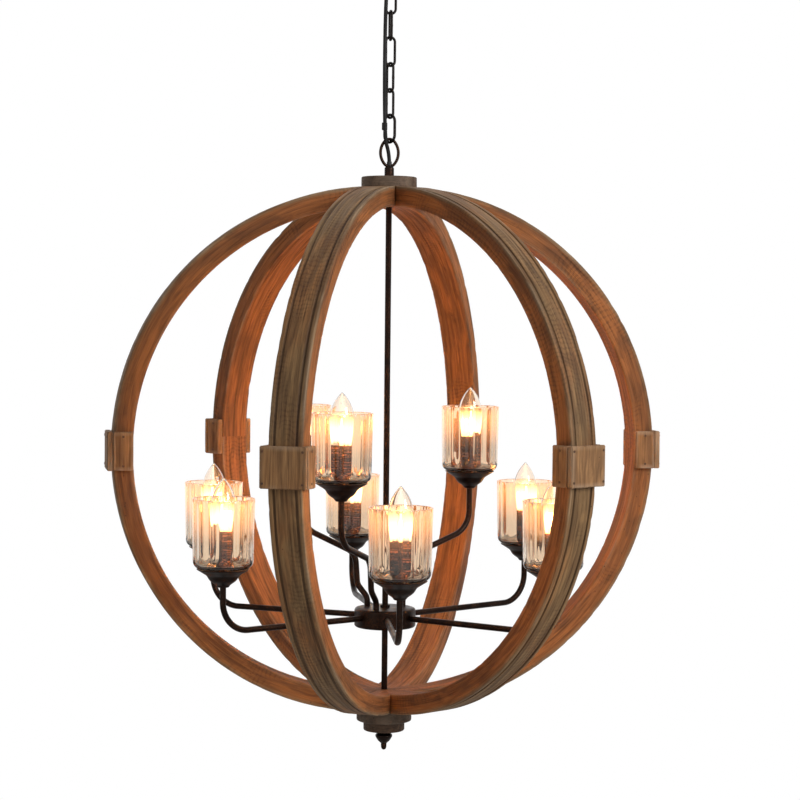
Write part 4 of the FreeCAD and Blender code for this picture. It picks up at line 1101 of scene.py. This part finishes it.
HUB_RADIUS = 45 * MM
HUB_HOLE = 4.6 * MM
outline = [(HUB_HOLE, HUB_LOW), (HUB_RADIUS, HUB_LOW, 0.6 * MM), (HUB_RADIUS, HUB_HIGH, 5 * MM),
           (HUB_HOLE, HUB_HIGH), (HUB_HOLE, HUB_LOW)]
bronze_piece("hub_drum", turned(rounded(outline, 1 * MM, 6), 96), "hub_body")
low, high = ends("hub_cover")
outline = [(HUB_HOLE, high), (HUB_RADIUS - 0.2 * MM, high), (HUB_RADIUS - 2.2 * MM, low, 1 * MM),
           (HUB_HOLE, low), (HUB_HOLE, high)]
bronze_piece("hub_cover_plate", turned(rounded(outline, 0.4 * MM), 96), "hub_cover")
low, high = ends("centre_rod")
rod = [(0, 0, low + (high - low) * k / 40) for k in range(41)]
bronze_piece("rod_tube", swept(rod, TUBE_RADIUS, 24), "centre_rod")
low, high = ends("finial")
FINIAL_OUTLINE = [(0, 30), (8.8, 30), (8.9, 27), (9.8, 25), (12.3, 22.6), (12.5, 20.6),
                  (11.6, 18.6), (8.6, 14), (5.4, 11), (4.2, 9.4), (4.1, 6), (3.7, 3.2), (2.4, 0.9),
                  (0, 0)]
outline = [(r * MM, low + z * MM) for r, z in FINIAL_OUTLINE]
outline = [tuple(outline[0]), *smooth_outline(outline[1:], 3)]
bronze_piece("finial_knob", turned(outline, 48), "finial")
print("hub, rod and finial ready")


# %% [markdown]
# ## Chain and quick link
# A link is a loop of wire with two straight sides, welded on one of them. The weld is a slight
# swelling, which catches a highlight on a real chain. The quick link is the same shape in thicker
# wire, with a gap that its six-sided nut covers. Each link rides on its own body.

# %% Chain
def stadium(length, width, step=1.2 * MM):
    """The centre line of a link: two half circles and two straight sides, in the XZ plane."""
    bend = width / 2
    side = (length - width) / 2
    points = []
    for k in range(1 + round(math.pi * bend / step)):
        angle = math.pi * k / round(math.pi * bend / step)
        points.append(Vector((bend * math.cos(angle), 0, side + bend * math.sin(angle))))
    count = max(2, round(2 * side / step))
    points += [Vector((-bend, 0, side - 2 * side * k / count)) for k in range(1, count)]
    lower = [Vector((-p.x, 0, -p.z)) for p in points]
    return points + lower


LINK_BEARINGS = [math.radians(b) for b in (10, 102, 27, 128, 48)]
QUICK_BEARING = math.radians(-45)


def weld_swell(t):
    """The wire's radius along the loop, with a weld halfway down one side."""
    near = abs((t - 0.375 + 0.5) % 1 - 0.5)
    return 1.9 * MM * (1 + 0.12 * math.exp(-((near / 0.02) ** 2)))


link_line = stadium(41.7 * MM, 14.5 * MM)
link_mesh = make_mesh("link", *swept(link_line, weld_swell, 18, closed=True), black_iron)
for i, bearing in enumerate(LINK_BEARINGS, start=1):
    at = middle(f"chain_link_{i}")
    place_piece(f"link_{i}_wire", link_mesh, f"link_{i}", (f"chain_link_{i}",),
                at, bearing)


def make_quick_link():
    loop = stadium(39.8 * MM, 20.8 * MM)
    gap_high, gap_low = 8.5 * MM, 3.5 * MM
    start = max(i for i, p in enumerate(loop) if p.x < -10 * MM and p.z > gap_high) + 1
    end = min(i for i, p in enumerate(loop) if p.x < -10 * MM and p.z < gap_low)
    wire = loop[end:] + loop[:start]
    return make_mesh("quick_wire", *swept(wire, 2.1 * MM, 20), black_iron)


at = middle("quick_link")
place_piece("quick_link_wire", make_quick_link(), "quick_link", ("quick_link",),
            at, QUICK_BEARING)


def make_sleeve_nut():
    """Six flats with their ends turned down to a slight cone, and a thread's worth of hole."""
    low, high = ends("quick_link_nut")
    points = []
    rows = [(0.86, low), (1.0, low + 0.7 * MM), (1.0, high - 0.7 * MM), (0.86, high),
            (0.52, high), (0.52, low)]
    for share, height in rows:
        for k in range(48):
            angle = 2 * math.pi * k / 48
            flat = 3.75 * MM / math.cos((angle % (math.pi / 3)) - math.pi / 6)
            radius = min(flat, 4.2 * MM) * share if share > 0.6 else 2.16 * MM
            points.append((radius * math.cos(angle), radius * math.sin(angle), height))
    return make_mesh("sleeve_nut", points, faces_between(6, 48, close_rows=True), black_iron)


nut = middle("quick_link_nut")
place_piece("sleeve_nut", make_sleeve_nut(), "quick_nut", ("quick_link_nut",),
            (nut.x, nut.y, 0), QUICK_BEARING)
print("chain hung")


# %% [markdown]
# ## The two cast loops
# An oval eye grows out of a round collar. We sweep the eye as wire and turn the collar with a
# flared neck, then let the two overlap, as the casting does. The same shape stands on the orb
# and hangs upside down from the ceiling.

# %% Loops
def oval(half_width, half_height, tip, step=1.0 * MM):
    """The eye's centre line: small arcs at the tips and large ones at the flanks."""
    rise = half_height - tip
    flank = (half_width**2 + rise**2 - tip**2) / (2 * (half_width - tip))
    turn = math.atan2(rise, flank - half_width)
    arcs = [((half_width - flank, 0), flank, -turn, turn), ((0, rise), tip, turn, math.pi - turn),
            ((flank - half_width, 0), flank, math.pi - turn, math.pi + turn),
            ((0, -rise), tip, math.pi + turn, 2 * math.pi - turn)]
    points = []
    for (x, z), radius, start, end in arcs:
        count = max(4, round(radius * (end - start) / step))
        points += [Vector((x + radius * math.cos(a), 0, z + radius * math.sin(a)))
                   for a in (start + (end - start) * k / count for k in range(count))]
    return points


def make_loop_mesh():
    eye = swept(oval(13.45 * MM, 19.8 * MM, 9.5 * MM), 2.2 * MM, 20, closed=True)
    eye = moved(eye, Matrix.Translation((0, 0, 35.3 * MM)))
    outline = [(3.8, 0), (7, 0, 0.8), (7, 13.3, 1.2), (4.6, 15.4, 2), (3.9, 16.8, 0.6),
               (3.8, 17), (3.8, 0)]
    collar = turned(rounded(millimetres(outline), 0.5 * MM), 48)
    return make_mesh("cast_loop", *join_shapes([eye, collar]), bronze)


loop_mesh = make_loop_mesh()
low, high = ends("top_loop")
place_piece("orb_loop", loop_mesh, "fixture", ("top_loop",), (0, 0, low),
            math.radians(15))
low, high = ends("canopy_loop")
hanging = place_piece("ceiling_loop", loop_mesh, "canopy", ("canopy_loop",), (0, 0, high))
hanging.matrix_world = (Matrix.Translation((0, 0, high)) @ Matrix.Rotation(math.radians(-62), 4, "Z")
                        @ Matrix.Rotation(math.pi, 4, "X"))
print("loops cast")

# %% [markdown]
# ## The supply cord
# The cord runs tight beside the chain, from the ceiling loop's bore into the orb's. Its route is
# the same few points as in the model, and a smooth curve through them gives the line. A chain
# bends at every link, and the cord with it, so we cut the line into one stretch for each joint.

# %% Cord
CORD_DIAMETER = 5.6 * MM
CORD_SIDE = 13 * MM
CORD_BEARING = math.radians(232)
EYE_MOUTH = 17.7 * MM
CORD_TOP = ((0, 2), (0, -15), (1, -39))
CORD_BOTTOM = ((1, 40), (0, 16), (0, -1))


def cord_points():
    upper = ends("canopy_loop")[1] - EYE_MOUTH
    lower = ends("top_loop")[0] + EYE_MOUTH
    points = []
    for end, route in ((upper, CORD_TOP), (lower, CORD_BOTTOM)):
        for share, height in route:
            points.append(Vector((share * CORD_SIDE * math.cos(CORD_BEARING),
                                  share * CORD_SIDE * math.sin(CORD_BEARING), end + height * MM)))
    return points


def smooth_line(points, resolution=40):
    """The points of a smooth curve that the given points steer."""
    curve = bpy.data.curves.new("cord line", "CURVE")
    curve.dimensions = "3D"
    curve.resolution_u = resolution
    spline = curve.splines.new("NURBS")
    spline.points.add(len(points) - 1)
    for control, point in zip(spline.points, points):
        control.co = (*point, 1)
    spline.order_u = 3
    spline.use_endpoint_u = True
    holder = bpy.data.objects.new("cord line", curve)
    bpy.context.collection.objects.link(holder)
    mesh = bpy.data.meshes.new_from_object(holder)
    line = [v.co.copy() for v in mesh.vertices]
    bpy.data.objects.remove(holder)
    bpy.data.meshes.remove(mesh)
    return line


def by_height(line, height):
    """The point of a falling line at a height."""
    for a, b in zip(line, line[1:]):
        if a.z >= height >= b.z:
            return a.lerp(b, (a.z - height) / (a.z - b.z))
    return line[-1] if height < line[-1].z else line[0]


cord_line = smooth_line(cord_points())
chain_bodies = ["canopy", *[f"link_{i}" for i in range(1, 6)], "quick_link", "fixture"]
pivots = {(j["parent"], j["child"]): j["pos_m"][2] for j in frame["joints"] if j["type"] == "hinge"}
levels = [pivots[pair] for pair in zip(chain_bodies, chain_bodies[1:])]
cuts = [cord_line[0].z] + [(a + b) / 2 for a, b in zip(levels, levels[1:])] + [cord_line[-1].z]
for i, (upper, lower) in enumerate(zip(cuts, cuts[1:])):
    count = max(12, round((upper - lower) / (2 * MM)))
    path = [by_height(cord_line, upper + (lower - upper) * k / count) for k in range(count + 1)]
    mesh = make_mesh(f"cord_{i + 1}", *swept(path, CORD_DIAMETER / 2, 20), cord_jacket)
    piece = bpy.data.objects.new(f"cord_stretch_{i + 1}", mesh)
    bpy.context.collection.objects.link(piece)
    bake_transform(piece)
    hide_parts("supply_cord")


# %% [markdown]
# ## The ceiling canopy
# The canopy is out of the photograph's view, but the part needs it to hang. It is a shallow
# pressed dish, so an outline with a wall's thickness is spun.

# %% Canopy
low, high = ends("ceiling_canopy")
CANOPY_OUTLINE = [(5, 0), (41.5, 0, 6), (57.5, 7, 8), (63.4, 26, 4), (63.5, 28, 0.3), (62.3, 28, 0.3),
                  (62.2, 26, 4), (56.6, 8, 7), (41.2, 1.2, 6), (5, 1.2), (5, 0)]
outline = [Vector((p.x, low + p.y)) for p in rounded(millimetres(CANOPY_OUTLINE), 0.3 * MM, 6)]
bronze_piece("canopy_dish", turned(outline, 96), "ceiling_canopy", "canopy")
print("canopy spun")

# %% [markdown]
# ## Materials for the pieces that stay
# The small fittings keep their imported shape. Their objects only get a finish.

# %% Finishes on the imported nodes
KEPT = {"mounting_strap": zinc, "canopy_nipple": zinc, "top_bushing": black_nylon, "lock_nuts": bronze,
        "wire_connectors": tan_plastic, "lamp_sockets": socket_plastic, "cleat_nails": nail_iron}
for node, material in KEPT.items():
    piece = frame["nodes"][node]
    for slot in piece.material_slots:
        slot.link = "OBJECT"
        slot.material = material
print("kept nodes", sorted(KEPT))


# %% [markdown]
# ## Light
# The room light is soft and white, brighter from the right, as in the photograph. To draw the
# edges of clear glass on white, a photographer lights only the backdrop and keeps the sides
# darker, so rays that the glass bends sideways come back dark. Our world does the same. The nine
# bulbs add their own warm light, which reddens the inner faces of the ribs. Each bulb's light is a
# small sphere inside its glass, and moves with its bulb.

# %% Studio light, bulb light and world
def soft_light(name, energy, size, at, towards=(0, 0, ORB_Z)):
    data = bpy.data.lights.new(name, "AREA")
    data.energy = energy
    data.size = size
    light = bpy.data.objects.new(name, data)
    bpy.context.collection.objects.link(light)
    light.location = at
    light.rotation_euler = (Vector(towards) - Vector(at)).to_track_quat("-Z", "Y").to_euler()
    return light


soft_light("key from the right", 100, 1.6, (2.6, -2.2, ORB_Z + 1.5))
soft_light("fill from the left", 6, 2.4, (-2.8, -2.4, ORB_Z + 0.6))
soft_light("light from above", 16, 2.0, (0.3, 0.8, ORB_Z + 2.6))

BULB_POWER = 0.76
BULB_COLOUR = (1.0, 0.48, 0.15)
FLAME_HEIGHT = 76 * MM
for i, foot in enumerate(lamp_feet, start=1):
    data = bpy.data.lights.new(f"bulb_light_{i}", "POINT")
    data.energy = BULB_POWER
    data.color = BULB_COLOUR
    data.shadow_soft_size = 8 * MM
    light = bpy.data.objects.new(f"bulb_light_{i}", data)
    bpy.context.collection.objects.link(light)
    light.parent = frame["bodies"][f"bulb_{i}"]
    light.location = foot + Vector((0, 0, FLAME_HEIGHT))

ROOM_LEVEL = 0.31  # light from the white room on the object, against the white that is seen
world = bpy.data.worlds.new("studio")
bpy.context.scene.world = world
world.use_nodes = True
tree = world.node_tree
rays = tree.nodes.new("ShaderNodeLightPath")
way = put(tree, "SeparateXYZ", None, Vector=put(tree, "TexCoord").outputs["Generated"]).outputs[1]
backdrop = ramp(tree, sums(tree, "ABSOLUTE", way), 0.2, 0.75, 0.35, 1.0)
bent = sums(tree, "MAXIMUM", rays.outputs["Is Transmission Ray"], rays.outputs["Is Glossy Ray"])
seen = sums(tree, "MAXIMUM", rays.outputs["Is Camera Ray"], sums(tree, "MULTIPLY", bent, backdrop))
strength = sums(tree, "MULTIPLY_ADD", seen, 1 - ROOM_LEVEL, ROOM_LEVEL)
tree.nodes["Background"].inputs["Color"].default_value = (1, 1, 1, 1)
tree.links.new(strength, tree.nodes["Background"].inputs["Strength"])

# %% [markdown]
# ## Floor
# The orb hangs over a plain pale floor. Far from the object the floor fades into the white of the
# room, so that no horizon shows behind the lamps, and near it it keeps the soft shadow.

# %% Floor
FLOOR_Z = -2.4
FLOOR_HALF = 6
mesh = bpy.data.meshes.new("floor")
corners = [(x * FLOOR_HALF, y * FLOOR_HALF, FLOOR_Z) for x, y in ((-1, -1), (1, -1), (1, 1), (-1, 1))]
mesh.from_pydata(corners, [], [(0, 1, 2, 3)])
floor = bpy.data.objects.new("floor", mesh)
bpy.context.collection.objects.link(floor)
material, tree, shader = new_material("pale floor")
shader.inputs["Base Color"].default_value = (0.72, 0.72, 0.71, 1)
shader.inputs["Roughness"].default_value = 0.9
rays = tree.nodes.new("ShaderNodeLightPath")
white = put(tree, "Emission", None, Color=(1, 1, 1, 1), Strength=1.0)
place = put(tree, "SeparateXYZ", None, Vector=put(tree, "TexCoord").outputs["Object"])
from_axis = sums(tree, "SQRT", sums(tree, "ADD", sums(tree, "POWER", place.outputs[0], 2.0),
                                    sums(tree, "POWER", place.outputs[1], 2.0)))
fade = ramp(tree, from_axis, 0.9, 2.4, 0.55, 1.0)
share = sums(tree, "MULTIPLY", fade, rays.outputs["Is Camera Ray"])
mixed = put(tree, "MixShader", None, Fac=share, i1=shader.outputs[0], i2=white.outputs[0])
tree.links.new(mixed.outputs[0], tree.nodes["Material Output"].inputs["Surface"])
mesh.materials.append(material)
print("floor at", FLOOR_Z)
